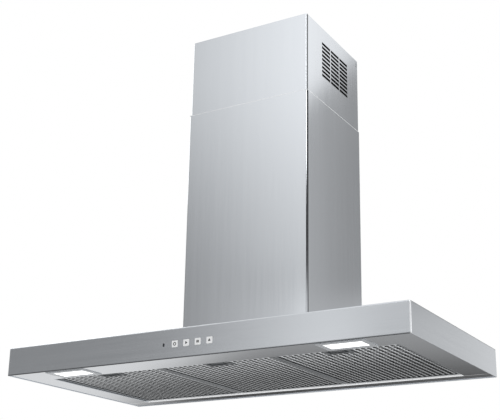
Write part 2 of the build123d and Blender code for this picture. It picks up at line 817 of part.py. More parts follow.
def casing_frame():
    """The flat frame that the casing stands on, bolted to the canopy's top round the air hole."""
    half = casing_half_width + casing_frame_width
    frame = block(-half, half, casing_front - casing_frame_width, plate_face_y, canopy_height, casing_bottom)
    low, high = canopy_height - cut_over, casing_bottom + cut_over
    inlet = round_upright(block(-inlet_x, inlet_x, inlet_front, inlet_rear, low, high), inlet_corner)
    holes = [screw_hole("Z", bolt_radius, low, high, *place) for place in frame_bolt_places()]
    return round_front(frame, casing_frame_corner) - inlet - holes


def casing_wrap():
    """The casing's front and sides, folded from one sheet, with a lip along each rear edge."""
    x, sheet = casing_half_width, casing_sheet
    top = casing_top - sheet
    outer = round_front(block(-x, x, casing_front, plate_face_y, casing_bottom, top), casing_bend)
    low, high = casing_bottom - cut_over, top + cut_over
    inner = block(-x + sheet, x - sheet, casing_front + sheet, plate_face_y - sheet, low, high)
    half = x - casing_rear_lip
    mouth = block(-half, half, plate_face_y - sheet - cut_over, plate_face_y + cut_over, low, high)
    return outer - round_front(inner, casing_bend - sheet) - mouth


def casing_lid():
    """The casing's top sheet, with holes for the outlet and the cable gland."""
    low, high = casing_top - casing_sheet, casing_top
    lid = block(-casing_half_width, casing_half_width, casing_front, plate_face_y, low, high)
    cuts = [rod("Z", spigot_bore - spigot_hole_step, low - cut_over, high + cut_over, 0, spigot_y)]
    cuts.append(rod("Z", gland_hole_radius, low - cut_over, high + cut_over, gland_x, gland_y))
    cuts += [screw_hole("Z", screw_radius, low, high, *place) for place in spigot_screw_places()]
    return round_front(lid, casing_bend) - cuts


def casing_bolts():
    return group(bolt("Z", bolt_radius, bolt_head_radius, bolt_head_height, casing_bottom, *place)
                 for place in frame_bolt_places())


def flue_foot_screws():
    face = canopy_height + flue_sheet
    return group(bolt("Z", screw_radius, screw_head_radius, screw_head_height, face, *place)
                 for place in foot_screw_places())


# ---------------------------------------------------------------- blower
def scroll_profile(growth):
    """The volute seen along X: a growing spiral that runs up into a straight outlet."""
    steps = scroll_points - 1
    points = [scroll_point(scroll_sweep * i / steps, growth) for i in range(scroll_points)]
    start, end = points[0], points[-1]
    sides = Polyline(end, (end[0], scroll_outlet_top), (start[0], scroll_outlet_top), start)
    return make_face(Plane.YZ * (Spline(*points) + sides))


def scroll_half():
    """The right half of the volute; the left half is its mirror image."""
    outward = Vector(1, 0, 0)
    half = extrude(scroll_profile(scroll_wall), scroll_half_width, dir=outward)
    half += extrude(scroll_profile(scroll_rim), scroll_wall, dir=outward)
    room = extrude(scroll_profile(0), scroll_half_width - scroll_wall + cut_over, dir=outward)
    half -= Pos(-cut_over, 0, 0) * room
    half -= rod("X", scroll_inlet_radius, 0, scroll_half_width + cut_over, scroll_y, scroll_z)
    half -= [screw_hole("X", screw_radius, 0, scroll_wall, *place) for place in scroll_screw_places()]
    return half


def scroll_screws():
    return group(bolt("X", screw_radius, scroll_head_radius, screw_head_height, scroll_wall, *place)
                 for place in scroll_screw_places())


def impeller():
    """A squirrel-cage wheel: a middle disc with its hub, straight blades and two end rings."""
    disc = Cylinder(impeller_radius, impeller_disc)
    hub = Cylinder(hub_radius, hub_length)
    mean_radius = (impeller_radius + impeller_inner_radius) / 2
    blade = Box(blade_chord, blade_thickness, 2 * impeller_half_width)
    blade = Pos(mean_radius, 0, 0) * Rot(0, 0, blade_angle) * blade
    blades = [Rot(0, 0, 360.0 * i / blade_count) * blade for i in range(blade_count)]
    ring = Cylinder(impeller_radius, impeller_ring) - Cylinder(impeller_inner_radius, impeller_ring)
    reach = impeller_half_width - impeller_ring / 2
    rings = [Pos(0, 0, sign * reach) * ring for sign in (-1, 1)]
    wheel = disc + hub + rings + blades - Cylinder(shaft_radius, hub_length + 2 * cut_over)
    return Pos(0, scroll_y, scroll_z) * Rot(0, 90, 0) * wheel


def motor_shaft():
    return rod("X", shaft_radius, shaft_left, shaft_right, scroll_y, scroll_z)


def motor():
    """A round motor with a stepped cap at each end, inside the wheel's left half."""
    body = rod("X", motor_radius, motor_left + motor_cap_length, motor_right - motor_cap_length,
               scroll_y, scroll_z)
    caps = [rod("X", motor_radius - motor_cap_step, start, start + motor_cap_length, scroll_y, scroll_z)
            for start in (motor_left, motor_right - motor_cap_length)]
    bore = rod("X", shaft_radius + shaft_clearance, shaft_left - cut_over, motor_right + cut_over,
               scroll_y, scroll_z)
    return body + caps - bore


def motor_bracket():
    """A ring on the scroll's face, joined by three arms to a collar round the motor."""
    outer_face = -scroll_half_width - bracket_thickness
    inner = scroll_inlet_radius + bracket_ring_gap
    ring = tube("X", inner + bracket_ring_width, inner, outer_face, -scroll_half_width, scroll_y, scroll_z)
    collar = tube("X", motor_radius + bracket_thickness, motor_radius, outer_face,
                  outer_face + bracket_collar_length, scroll_y, scroll_z)
    arm = block(outer_face, -scroll_half_width, motor_radius + bracket_thickness / 2,
                inner + bracket_ring_width / 2, -bracket_arm_width / 2, bracket_arm_width / 2)
    centre = Pos(0, scroll_y, scroll_z)
    return ring + collar + [centre * Rot(angle, 0, 0) * arm for angle in bracket_arm_angles]


# ---------------------------------------------------------------- outlet
def spigot_plate():
    """The square flange that holds the outlet spigot to the casing's top."""
    plate = tile(0, spigot_y, 2 * spigot_reach, 2 * spigot_reach, casing_top, spigot_base)
    low, high = casing_top - cut_over, spigot_base + cut_over
    bore = rod("Z", spigot_bore, low, high, 0, spigot_y)
    holes = [screw_hole("Z", screw_radius, low, high, *place) for place in spigot_screw_places()]
    return round_upright(plate, spigot_flange_corner) - bore - holes


def spigot_pipe():
    """The round spigot that the duct goes over, with a stop ring that the flaps close on."""
    pipe = tube("Z", spigot_radius, spigot_bore, spigot_base, spigot_top, 0, spigot_y)
    middle_radius = (spigot_radius + spigot_bore) / 2
    stop = tube("Z", middle_radius, spigot_bore - flap_stop_width, flap_stop_top - flap_stop_height,
                flap_stop_top, 0, spigot_y)
    reach = spigot_radius + cut_over
    return pipe + stop - rod("X", spindle_radius, -reach, reach, spigot_y, spindle_z)


def spigot_screws():
    face = spigot_base
    return group(bolt("Z", screw_radius, screw_head_radius, screw_head_height, face, *place)
                 for place in spigot_screw_places())


def flap_spindle():
    return rod("X", spindle_radius, -spigot_radius, spigot_radius, spigot_y, spindle_z)


def flap(side, knuckle_starts):
    """Half a disc that closes the spigot in front of the spindle (side -1) or behind it (side 1)."""
    low, high = spindle_z - flap_thickness / 2, spindle_z + flap_thickness / 2
    disc = rod("Z", flap_radius, low, high, 0, spigot_y)
    near, far = sorted((spigot_y + side * flap_hinge_gap, spigot_y + side * (flap_radius + cut_over)))
    plate = disc & block(-flap_radius, flap_radius, near, far, low, high)
    web = sorted((spigot_y, spigot_y + side * (flap_hinge_gap + knuckle_radius)))
    for start in knuckle_starts:
        end = start + knuckle_length
        plate += block(start, end, *web, low, high)
        plate += rod("X", knuckle_radius, start, end, spigot_y, spindle_z)
    bore = spindle_radius + knuckle_clearance
    return plate - rod("X", bore, -spigot_radius, spigot_radius, spigot_y, spindle_z)


# ---------------------------------------------------------------- electrics
def electronics_box():
    """A plastic box under the canopy's top, open below."""
    x, y = box_left + box_width / 2, box_front + box_depth / 2
    shell = round_upright(tile(x, y, box_width, box_depth, box_bottom, canopy_ceiling), box_corner)
    return shell - tile(x, y, box_width - 2 * box_wall, box_depth - 2 * box_wall,
                        box_bottom - cut_over, canopy_ceiling - box_wall)


def electronics_lid():
    x, y = box_left + box_width / 2, box_front + box_depth / 2
    return round_upright(tile(x, y, box_width, box_depth, box_bottom - box_lid, box_bottom), box_corner)


def control_module():
    """The circuit board in the box, with a transformer, relays, capacitors and a fuse holder below it."""
    margin = box_wall + module_gap
    left, front = box_left + margin, box_front + margin
    right, rear = box_left + box_width - margin, box_front + box_depth - margin
    top = canopy_ceiling - box_wall - module_standoff
    face = top - board_thickness

    def component(x, y, length, depth, height):
        return block(left + x, left + x + length, front + y, front + y + depth, face - height, face)

    module = block(left, right, front, rear, face, top)
    module += [component(*transformer), component(*fuse_holder)]
    x, y, length, depth, height = relay
    module += [component(x + relay_pitch * i, y, length, depth, height) for i in range(relay_count)]
    module += [rod("Z", filter_cap_radius, face - filter_cap_height, face,
                   left + filter_cap_pitch * (i + 1), front + filter_cap_y) for i in range(filter_cap_count)]
    module += [block(x, x + post_size, front, front + post_size, top, canopy_ceiling - box_wall)
               for x in (left, right - post_size)]
    return module


def run_capacitor():
    """The motor's capacitor in a saddle under the canopy's top, beside the box."""
    x = box_left - capacitor_radius - capacitor_gap
    z = canopy_ceiling - capacitor_radius
    can = rod("Y", capacitor_radius, box_front, box_front + capacitor_length, x, z)
    can += block(x - capacitor_radius, x + capacitor_radius, box_front + saddle_start,
                 box_front + saddle_start + saddle_length, z, canopy_ceiling)
    for sign in (-1, 1):
        tag_x = x + sign * tag_pitch / 2
        can += block(tag_x - tag_width / 2, tag_x + tag_width / 2, box_front - tag_length, box_front,
                     z - tag_height / 2, z + tag_height / 2)
    return can


def terminal_block():
    """The mains terminals on the wall plate, above the casing."""
    z0 = casing_top + terminal_lift
    z1 = z0 + terminal_height
    front = plate_face_y - terminal_depth
    body = block(terminal_left, terminal_left + terminal_width, front, plate_face_y, z0, z1)
    pitch = terminal_width / terminal_poles
    cuts = []
    for i in range(terminal_poles):
        x = terminal_left + pitch * (i + 0.5)
        middle_y = (front + plate_face_y) / 2
        cuts.append(rod("Z", terminal_wire_radius, z0 - cut_over, z1 + cut_over, x, middle_y))
        cuts.append(rod("Y", terminal_screw_radius, front - cut_over, middle_y, x, (z0 + z1) / 2))
    return body - cuts


def cable_gland():
    """The strain relief that the mains lead comes in through, with its nut inside the casing."""
    nut = rod("Z", gland_radius, gland_low - gland_nut, gland_low, gland_x, gland_y)
    shank = rod("Z", gland_shank_radius, gland_low - gland_thread, casing_top, gland_x, gland_y)
    hexagon = Pos(gland_x, gland_y, casing_top) * extrude(RegularPolygon(gland_radius, 6), gland_hexagon)
    dome = rod("Z", gland_dome_radius, casing_top, casing_top + gland_height, gland_x, gland_y)
    dome = fillet(dome.edges().group_by(Axis.Z)[-1], gland_dome_round)
    bore = rod("Z", gland_bore, gland_low - gland_thread - cut_over, casing_top + gland_height + cut_over,
               gland_x, gland_y)
    return nut + shank + hexagon + dome - bore


def build():
    os.makedirs("parts", exist_ok=True)
    write("canopy_shell", canopy_shell())
    write("underside_panel", underside_panel())
    for name, middle in filter_middles().items():
        write(f"filter_frame_{name}", filter_frame(middle))
        write(f"filter_mesh_{name}", filter_mesh(middle))
        write(f"latch_body_{name}", latch_body(middle))
        write(f"latch_slider_{name}", latch_slider(middle))
    for name, x in (("left", -lamp_x), ("right", lamp_x)):
        write(f"lamp_bezel_{name}", lamp_bezel(x))
        write(f"lamp_diffuser_{name}", lamp_diffuser(x))
        write(f"lamp_board_{name}", lamp_board(x))
    for name, x in zip(button_names, button_xs):
        write(f"button_{name}", button(x))
    write("keypad_frame", keypad_frame())
    write("indicator_lens", indicator_lens())
    write("control_board", control_board())
    write("tact_switches", tact_switches())
    write("lower_flue", lower_flue())
    write("upper_flue", upper_flue())
    write("flue_guide_pads", flue_guide_pads())
    write("upper_bracket", upper_bracket())
    write("wall_plate", wall_plate())
    write("casing_frame", casing_frame())
    write("casing_wrap", casing_wrap())
    write("casing_lid", casing_lid())
    write("casing_bolts", casing_bolts())
    write("flue_foot_screws", flue_foot_screws())
    write("scroll_half_left", mirror(scroll_half(), about=Plane.YZ))
    write("scroll_half_right", scroll_half())
    write("scroll_screws", scroll_screws())
    write("impeller", impeller())
    write("motor_shaft", motor_shaft())
    write("motor", motor())
    write("motor_bracket", motor_bracket())
    write("spigot_plate", spigot_plate())
    write("spigot_pipe", spigot_pipe())
    write("spigot_screws", spigot_screws())
    write("flap_spindle", flap_spindle())
    write("flap_front", flap(-1, front_knuckle_starts))
    write("flap_rear", flap(1, rear_knuckle_starts))
    write("electronics_box", electronics_box())
    write("electronics_lid", electronics_lid())
    write("control_module", control_module())
    write("run_capacitor", run_capacitor())
    write("terminal_block", terminal_block())
    write("cable_gland", cable_gland())


build()
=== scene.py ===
"""Finishes, fine parts and studio for a 900 mm wall chimney hood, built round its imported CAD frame."""

import json
import logging
import math
from collections.abc import Callable, Iterator, Sequence
from contextlib import contextmanager
from dataclasses import dataclass, field
from enum import Enum
from typing import Any, Union

import bmesh
import bpy
from mathutils import Matrix, Vector

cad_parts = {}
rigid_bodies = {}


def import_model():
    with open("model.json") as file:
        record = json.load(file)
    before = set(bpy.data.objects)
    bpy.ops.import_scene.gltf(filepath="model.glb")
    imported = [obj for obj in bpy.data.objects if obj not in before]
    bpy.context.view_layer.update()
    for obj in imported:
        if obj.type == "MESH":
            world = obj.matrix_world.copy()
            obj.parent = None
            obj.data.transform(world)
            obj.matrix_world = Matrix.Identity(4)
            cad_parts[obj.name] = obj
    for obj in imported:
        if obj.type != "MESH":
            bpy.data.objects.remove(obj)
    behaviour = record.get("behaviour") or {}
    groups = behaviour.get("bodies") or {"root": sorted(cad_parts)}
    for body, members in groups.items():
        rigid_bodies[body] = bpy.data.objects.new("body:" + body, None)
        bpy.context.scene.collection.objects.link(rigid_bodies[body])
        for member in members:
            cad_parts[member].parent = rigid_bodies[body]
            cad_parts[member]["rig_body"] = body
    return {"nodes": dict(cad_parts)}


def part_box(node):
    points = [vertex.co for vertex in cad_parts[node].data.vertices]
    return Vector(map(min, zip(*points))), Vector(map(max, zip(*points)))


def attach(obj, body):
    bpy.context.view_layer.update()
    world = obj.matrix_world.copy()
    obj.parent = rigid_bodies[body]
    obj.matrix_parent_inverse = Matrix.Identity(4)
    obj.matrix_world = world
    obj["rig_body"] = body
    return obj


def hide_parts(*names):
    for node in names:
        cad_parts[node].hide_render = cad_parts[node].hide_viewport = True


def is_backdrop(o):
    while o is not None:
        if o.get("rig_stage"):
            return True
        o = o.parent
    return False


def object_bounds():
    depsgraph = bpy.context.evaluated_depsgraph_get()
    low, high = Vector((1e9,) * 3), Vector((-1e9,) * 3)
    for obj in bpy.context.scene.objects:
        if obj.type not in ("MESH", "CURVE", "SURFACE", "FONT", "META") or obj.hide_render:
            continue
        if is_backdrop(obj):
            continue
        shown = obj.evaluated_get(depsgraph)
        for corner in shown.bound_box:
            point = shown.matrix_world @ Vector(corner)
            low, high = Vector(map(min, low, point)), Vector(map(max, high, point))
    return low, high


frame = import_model()
CAD_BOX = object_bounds()
LOG = logging.getLogger("chimney_hood")
MM = 0.001


class Axis(Enum):
    """A direction of the shared frame."""

    X = 0
    Y = 1
    Z = 2


class Grain(Enum):
    """Which way the mill brushed a sheet."""

    LEVEL = "level"
    UPRIGHT = "upright"


class Icon(Enum):
    """Generic mark printed on a push button."""

    RING = "ring"
    FORWARD = "forward"
    BARS = "bars"
    UP = "up"


class Side(Enum):
    """Which filter, or which lamp."""

    LEFT = "left"
    MIDDLE = "middle"
    RIGHT = "right"


Colour = tuple[float, float, float]
Point = tuple[float, float, float]
Bands = tuple[tuple[Axis, float], ...]

BLACK: Colour = (0.0, 0.0, 0.0)
WHITE: Colour = (1.0, 1.0, 1.0)


# ---------------------------------------------------------------- shader maths


@dataclass(frozen=True)
class Value:
    """An output socket that takes part in Python arithmetic."""

    graph: "Graph"
    socket: bpy.types.NodeSocket

    def calc(self, operation: str, *others: "Number", first: bool = True) -> "Value":
        """Add a Math node.

        Args:
            operation: Name of the Math node's operation.
            others: Values beside this one.
            first: Whether this value is the node's first operand.

        Returns:
            The node's result.
        """
        row = [self, *others] if first else [*others, self]
        return self.graph.node("ShaderNodeMath", {"operation": operation}, dict(enumerate(row)))

    def __add__(self, other: "Number") -> "Value":
        """Sum."""
        return self.calc("ADD", other)

    __radd__ = __add__

    def __sub__(self, other: "Number") -> "Value":
        """Difference."""
        return self.calc("SUBTRACT", other)

    def __rsub__(self, other: "Number") -> "Value":
        """Difference with this value taken away."""
        return self.calc("SUBTRACT", other, first=False)

    def __mul__(self, other: "Number") -> "Value":
        """Product."""
        return self.calc("MULTIPLY", other)

    __rmul__ = __mul__

    def __truediv__(self, other: "Number") -> "Value":
        """Quotient."""
        return self.calc("DIVIDE", other)

    def __abs__(self) -> "Value":
        """Size without sign."""
        return self.calc("ABSOLUTE")

    def __gt__(self, other: "Number") -> "Value":
        """One where this value is the greater, zero elsewhere."""
        return self.calc("GREATER_THAN", other)

    def __lt__(self, other: "Number") -> "Value":
        """One where this value is the lesser, zero elsewhere."""
        return self.calc("LESS_THAN", other)

    def __pow__(self, other: "Number") -> "Value":
        """Power."""
        return self.calc("POWER", other)

    def ease(self, start: float, end: float, low: float = 0.0, high: float = 1.0) -> "Value":
        """Smooth step between two stations.

        Args:
            start: Station where the result is low; it may lie above end.
            end: Station where the result is high.
            low: Result at and before start.
            high: Result at and past end.

        Returns:
            The eased value.
        """
        if start > end:
            start, end, low, high = end, start, high, low
        return self.graph.node(
            "ShaderNodeMapRange", {"interpolation_type": "SMOOTHSTEP"},
            {0: self, 1: start, 2: end, 3: low, 4: high})

    def bump_at(self, place: float, width: float) -> "Value":
        """A soft hill of height one, centred on a place and gone one width away from it."""
        return abs(self - place).ease(width, 0.0)


Number = Union[Value, float, int]
Plain = Union[Number, tuple, Vector]


class Graph:
    """The node tree of one material or of the world."""

    def __init__(self, owner: Any) -> None:
        """Empty the tree.

        Args:
            owner: The material or world that owns the tree.
        """
        owner.use_nodes = True
        self.tree = owner.node_tree
        self.tree.nodes.clear()

    def node(self, kind: str, settings: dict[str, Any] | None = None,
             sockets: dict[int | str, Plain] | None = None, out: int | str = 0) -> Value:
        """Add a node.

        Args:
            kind: Blender's name of the node type.
            settings: Properties, set before the sockets.
            sockets: Values or links of the input sockets.
            out: Which output socket to hand back.

        Returns:
            The chosen output, or the node's first input when it has no outputs.
        """
        made = self.tree.nodes.new(kind)
        for name, setting in (settings or {}).items():
            setattr(made, name, setting)
        for key, value in (sockets or {}).items():
            if isinstance(value, Value):
                self.tree.links.new(value.socket, made.inputs[key])
            elif isinstance(value, tuple) and len(made.inputs[key].default_value) == 4:
                made.inputs[key].default_value = (*value, 1.0)
            else:
                made.inputs[key].default_value = value
        return Value(self, made.outputs[out] if made.outputs else made.inputs[0])

    def place(self) -> Value:
        """Point on the piece, in metres of the shared frame."""
        return self.node("ShaderNodeTexCoord", out="Object")

    def facing(self) -> Value:
        """Direction that the surface faces, in the shared frame."""
        return self.node("ShaderNodeTexCoord", out="Normal")

    def parts(self, vector: Value) -> tuple[Value, Value, Value]:
        """Split a vector into its three numbers."""
        node = self.node("ShaderNodeSeparateXYZ", None, {0: vector}).socket.node
        return tuple(Value(self, output) for output in node.outputs)

    def stretched(self, vector: Value, scale: Point) -> Value:
        """Scale a vector by a different amount along each axis."""
        return self.node("ShaderNodeVectorMath", {"operation": "MULTIPLY"}, {0: vector, 1: scale})

    def noise(self, vector: Value, scale: float, detail: float = 2.0, rough: float = 0.5) -> Value:
        """Soft random field from 0 to 1.

        Args:
            vector: Where it is read.
            scale: Features per unit of the vector.
            detail: Number of finer layers.
            rough: Strength of the finer layers.

        Returns:
            The field's value.
        """
        return self.node("ShaderNodeTexNoise", None,
                         {"Vector": vector, "Scale": scale, "Detail": detail, "Roughness": rough})

    def cells(self, vector: Value, scale: float, edges: bool = False) -> Value:
        """Crystal cells.

        Args:
            vector: Where they are read.
            scale: Cells per unit of the vector.
            edges: Whether to give the distance to the nearest cell wall.

        Returns:
            That distance, or else a random number for each cell.
        """
        feature = "DISTANCE_TO_EDGE" if edges else "F1"
        made = self.node("ShaderNodeTexVoronoi", {"feature": feature},
                         {"Vector": vector, "Scale": scale})
        if edges:
            return made
        return self.parts(Value(self, made.socket.node.outputs["Color"]))[0]

    def mix(self, share: Number, first: Plain, second: Plain) -> Value:
        """Blend two colours; a share of one gives the second."""
        made = self.node("ShaderNodeMix", {"data_type": "RGBA"}, {0: share, 6: first, 7: second})
        return Value(self, made.socket.node.outputs[2])

    def swap(self, share: Value, first: Value, second: Value) -> Value:
        """Blend two vectors; a share of one gives the second."""
        made = self.node("ShaderNodeMix", {"data_type": "VECTOR"}, {0: share, 4: first, 5: second})
        return Value(self, made.socket.node.outputs[1])

    def relief(self, height: Value, depth: float, strength: float) -> Value:
        """Bump from a height field whose full range is depth metres."""
        return self.node("ShaderNodeBump", None,
                         {"Strength": strength, "Distance": depth, "Height": height})

    def surface(self, **sockets: Plain) -> None:
        """Close the graph with a Principled shader.

        Args:
            sockets: Its sockets, with underscores for the spaces in their names.
        """
        named = {name.replace("_", " "): value for name, value in sockets.items()}
        shader = self.node("ShaderNodeBsdfPrincipled", None, named)
        self.node("ShaderNodeOutputMaterial", None, {"Surface": shader})


# -------------------------------------------------------------------- finishes


@dataclass(frozen=True)
class Finish:
    """A named surface finish."""

    name: str

    def paint(self, graph: Graph) -> None:
        """Lay the finish's nodes."""
        raise NotImplementedError

    def material(self) -> bpy.types.Material:
        """The finish's material, made on first use."""
        label = f"finish_{self.name}"
        known = bpy.data.materials.get(label)
        if known is None:
            known = bpy.data.materials.new(label)
            self.paint(Graph(known))
        return known


@dataclass(frozen=True)
class BrushedSteel(Finish):
    """Stainless sheet with a mill-brushed grain, painted highlights on its folds and painted shade in its
    seams.
    """

    grain: Grain
    folds: Bands = ()
    corner: tuple[float, float] | None = None
    # Painted highlight of the folds: band width, colour and glow.
    fold_width: float = 1.6 * MM
    fold_highlight_tint: Colour = (0.90, 0.91, 0.92)
    fold_glow: float = 0.0
    # Painted shade of the seam gaps and of the punched slot rims:
    seams: Bands = ()
    seam_width: float = 1.6 * MM
    seam_limit: float | None = None
    seam_shade_tint: Colour = (0.045, 0.048, 0.052)
    rim_shade_tint: Colour = (0.004, 0.004, 0.005)
    dark: Colour = (0.565, 0.590, 0.622)
    light: Colour = (0.640, 0.664, 0.694)
    roughness: float = 0.17
    stroke: float = 9.0
    fineness: float = 820.0

    def lines(self, spans: Sequence[Value], places: Bands, width: float) -> Value | None:
        """Mask of the bands round a few levels.

        Args:
            spans: The three coordinates.
            places: Axis and level of each band.
            width: Half width of a band.

        Returns:
            The mask, or None where there are no bands.
        """
        mask = None
        for axis, station in places:
            band = spans[axis.value].bump_at(station, width)
            mask = band if mask is None else mask.calc("MAXIMUM", band)
        return mask

    def painted_highlight(self, spans: Sequence[Value]) -> Value | None:
        """Mask of the painted highlights along the folds, or along the two upright corners where corner
        gives their place.

        Args:
            spans: The three coordinates.

        Returns:
            The mask, or None where the sheet has neither.
        """
        if self.corner is None:
            return self.lines(spans, self.folds, self.fold_width)
        side, front = self.corner
        return abs(spans[0]).bump_at(side, self.seam_width) * spans[1].bump_at(front, self.seam_width)

    def shaded(self, spans: Sequence[Value]) -> Value | None:
        """Mask of the painted shade in the seam gaps, in front of seam_limit only where that is set."""
        mask = self.lines(spans, self.seams, self.seam_width)
        return mask if mask is None or self.seam_limit is None else mask * (spans[1] < self.seam_limit)

    def painted_slot_shade(self, spans: Sequence[Value]) -> Value | None:
        """Mask of painted shade round the rims of punched openings, where the sheet has any."""
        return None

    def strokes(self, graph: Graph, place: Value) -> Value:
        """Draw the pattern's space out along the way that the sheet was brushed.

        Args:
            graph: Node tree of the material.
            place: Point on the sheet.

        Returns:
            The point in the drawn-out space.
        """
        fine, long = self.fineness, self.stroke
        if self.grain is Grain.UPRIGHT:
            return graph.stretched(place, (fine, fine, long))
        sideways = abs(graph.parts(graph.facing())[0]) > 0.7
        return graph.swap(sideways, graph.stretched(place, (long, fine, fine)),
                          graph.stretched(place, (fine, long, fine)))

    def paint(self, graph: Graph) -> None:
        """Lay long grain strokes, slow clouding, painted highlights on the folds and painted shade in the
        seams and round punched rims.

        Args:
            graph: Node tree of the material.
        """
        place = graph.place()
        spans = graph.parts(place)
        strokes = self.strokes(graph, place)
        hair = graph.noise(strokes, 1.0, 3.0, 0.6)
        band = graph.noise(strokes, 0.13, 1.0)
        cloud = graph.noise(place, 5.5, 2.0)
        tone = graph.mix(hair * 0.7 + band * 0.3, self.dark, self.light)
        rough = hair * 0.07 + band * 0.03 + cloud * 0.04 + (self.roughness - 0.07)
        shine: Number = 1.0
        lit: dict[str, Plain] = {}
        shaded, painted_highlight, rims = self.shaded(spans), self.painted_highlight(spans), self.painted_slot_shade(spans)
        if shaded is not None:
            # Painted shade: the tone darkens in the seam gaps.
            tone = graph.mix(shaded, tone, self.seam_shade_tint)
        if painted_highlight is not None:
            # Painted highlight: folds and corners turn pale, smoother and less metallic.
            tone = graph.mix(painted_highlight * 0.9, tone, self.fold_highlight_tint)
            rough = rough - painted_highlight * 0.03
            shine = 1.0 - painted_highlight * 0.6
            # Painted glow: the highlighted folds emit light, though the sheet is no lamp.
            if self.fold_glow:
                lit = {"Emission_Color": graph.mix(painted_highlight * self.fold_glow, BLACK, WHITE),
                       "Emission_Strength": 1.0}
        if rims is not None:
            # Painted shade: the slot rims and the fixing slot turn nearly black.
            tone = graph.mix(rims, tone, self.rim_shade_tint)
        graph.surface(Base_Color=tone, Roughness=rough, Metallic=shine,
                      Normal=graph.relief(hair, 0.01 * MM, 0.35), **lit)


@dataclass(frozen=True)
class VentedSteel(BrushedSteel):
    """Brushed sheet with painted shade round the rims of the vent slots and over the fixing slot."""

    vent_middle: tuple[float, float] = (0.108, 0.7115)
    vent_pitch: tuple[float, float] = (0.0446, 0.00975)
    vent_half: tuple[float, float] = (0.0205, 0.0033)
    vent_reach: tuple[float, float] = (0.0652, 0.0422)
    fixing_middle: tuple[float, float] = (0.2235, 0.7770)
    fixing_half: tuple[float, float] = (1.7 * MM, 5.0 * MM)
    side_from: float = 0.1465

    def painted_slot_shade(self, spans: Sequence[Value]) -> Value | None:
        """Mask of painted shade round the slot rims, wider than the punched slots by the roll of their
        edges, and over the fixing slot.

        Args:
            spans: The three coordinates.

        Returns:
            The mask.
        """
        vents = fixing = 1.0
        for index, span in enumerate(spans[1:]):
            middle, pitch = self.vent_middle[index], self.vent_pitch[index]
            phase = abs(((span - middle) / pitch + 20.5).calc("FRACT") - 0.5) * pitch
            vents = (phase < self.vent_half[index]) * (abs(span - middle) < self.vent_reach[index]) * vents
            fixing = (abs(span - self.fixing_middle[index]) < self.fixing_half[index]) * fixing
        return (vents + fixing) * (abs(spans[0]) > self.side_from)


@dataclass(frozen=True)
class PressedAluminium(Finish):
    """Folded aluminium frame, dulled by washing."""

    dark: Colour = (0.135, 0.145, 0.155)
    light: Colour = (0.225, 0.238, 0.250)

    def paint(self, graph: Graph) -> None:
        """Lay drawing lines along the profile, water marks and a fine pitting.

        Args:
            graph: Node tree of the material.
        """
        place = graph.place()
        lines = graph.noise(graph.stretched(place, (260.0, 40.0, 900.0)), 1.0, 2.0)
        marks = graph.noise(place, 34.0, 4.0, 0.62)
        pits = graph.cells(place, 700.0, edges=True)
        stain = marks.ease(0.42, 0.66)
        tone = graph.mix(lines * 0.6 + stain * 0.4, self.dark, self.light)
        graph.surface(Base_Color=tone, Metallic=0.85, Roughness=stain * 0.12 + lines * 0.1 + 0.3,
                      Normal=graph.relief(pits, 0.03 * MM, 0.3))


@dataclass(frozen=True)
class FilterWeb(Finish):
    """Aluminium web of a grease filter, with painted shade that deepens below its crests and towards its
    rear.
    """

    crest: float
    depth: float
    # low is the colour of the painted shade deep in the web, high that of the fully lit crests.
    low: Colour = (0.020, 0.023, 0.026)
    high: Colour = (0.84, 0.86, 0.88)
    rear_shade_span: tuple[float, float] = (-0.14, 0.11)

    def paint(self, graph: Graph) -> None:
        """Paint shade that deepens into the filter and towards its rear, and speckle the strands.

        Args:
            graph: Node tree of the material.
        """
        place = graph.place()
        _, along, rise = graph.parts(place)
        speck = graph.noise(place, 900.0, 2.0)
        film = graph.noise(place, 22.0, 3.0)
        # Painted shade: the tone falls with depth below the crest and towards the rear.
        painted_light = rise.ease(self.crest + self.depth, self.crest) ** along.ease(*self.rear_shade_span, 0.45, 4.5)
        painted_light = painted_light * along.ease(*self.rear_shade_span, 1.0, 0.55)
        tone = graph.mix(painted_light * (speck * 0.3 + film * 0.1 + 0.65), self.low, self.high)
        graph.surface(Base_Color=tone, Metallic=0.5, Roughness=film * 0.16 + speck * 0.1 + 0.27,
                      Normal=graph.relief(speck, 0.04 * MM, 0.4))


@dataclass(frozen=True)
class MouldedPlastic(Finish):
    """Injection-moulded plastic with a spark-eroded texture."""

    colour: Colour
    roughness: float = 0.42
    texture: float = 1400.0
    depth: float = 0.02 * MM
    sheen: float = 0.4

    def paint(self, graph: Graph) -> None:
        """Lay the mould texture, flow clouding and slight rubbing.

        Args:
            graph: Node tree of the material.
        """
        place = graph.place()
        grit = graph.noise(place, self.texture, 3.0, 0.6)
        flow = graph.noise(place, 28.0, 2.0)
        darker = tuple(channel * 0.82 for channel in self.colour)
        tone = graph.mix(flow * 0.6 + grit * 0.4, darker, self.colour)
        graph.surface(Base_Color=tone, Roughness=grit * 0.14 + flow * 0.08 + self.roughness - 0.11,
                      Specular_IOR_Level=self.sheen, Normal=graph.relief(grit, self.depth, 0.5))


@dataclass(frozen=True)
class KeyFace(Finish):
    """Satin silver paint of the push buttons."""

    dark: Colour = (0.66, 0.67, 0.68)
    light: Colour = (0.78, 0.785, 0.79)
    glow: float = 0.10

    def paint(self, graph: Graph) -> None:
        """Lay metallic flakes under a clear coat, with a faint painted glow.

        Args:
            graph: Node tree of the material.
        """
        place = graph.place()
        flake = graph.cells(place, 3800.0)
        rub = graph.noise(place, 160.0, 2.0)
        tone = graph.mix(flake * 0.5 + rub * 0.5, self.dark, self.light)
        # Painted glow: the buttons emit their own tone, though they are no lamps.
        graph.surface(Base_Color=tone, Metallic=0.1, Roughness=rub * 0.14 + 0.26,
                      Coat_Weight=rub * 0.2 + 0.25, Emission_Color=tone, Emission_Strength=self.glow)


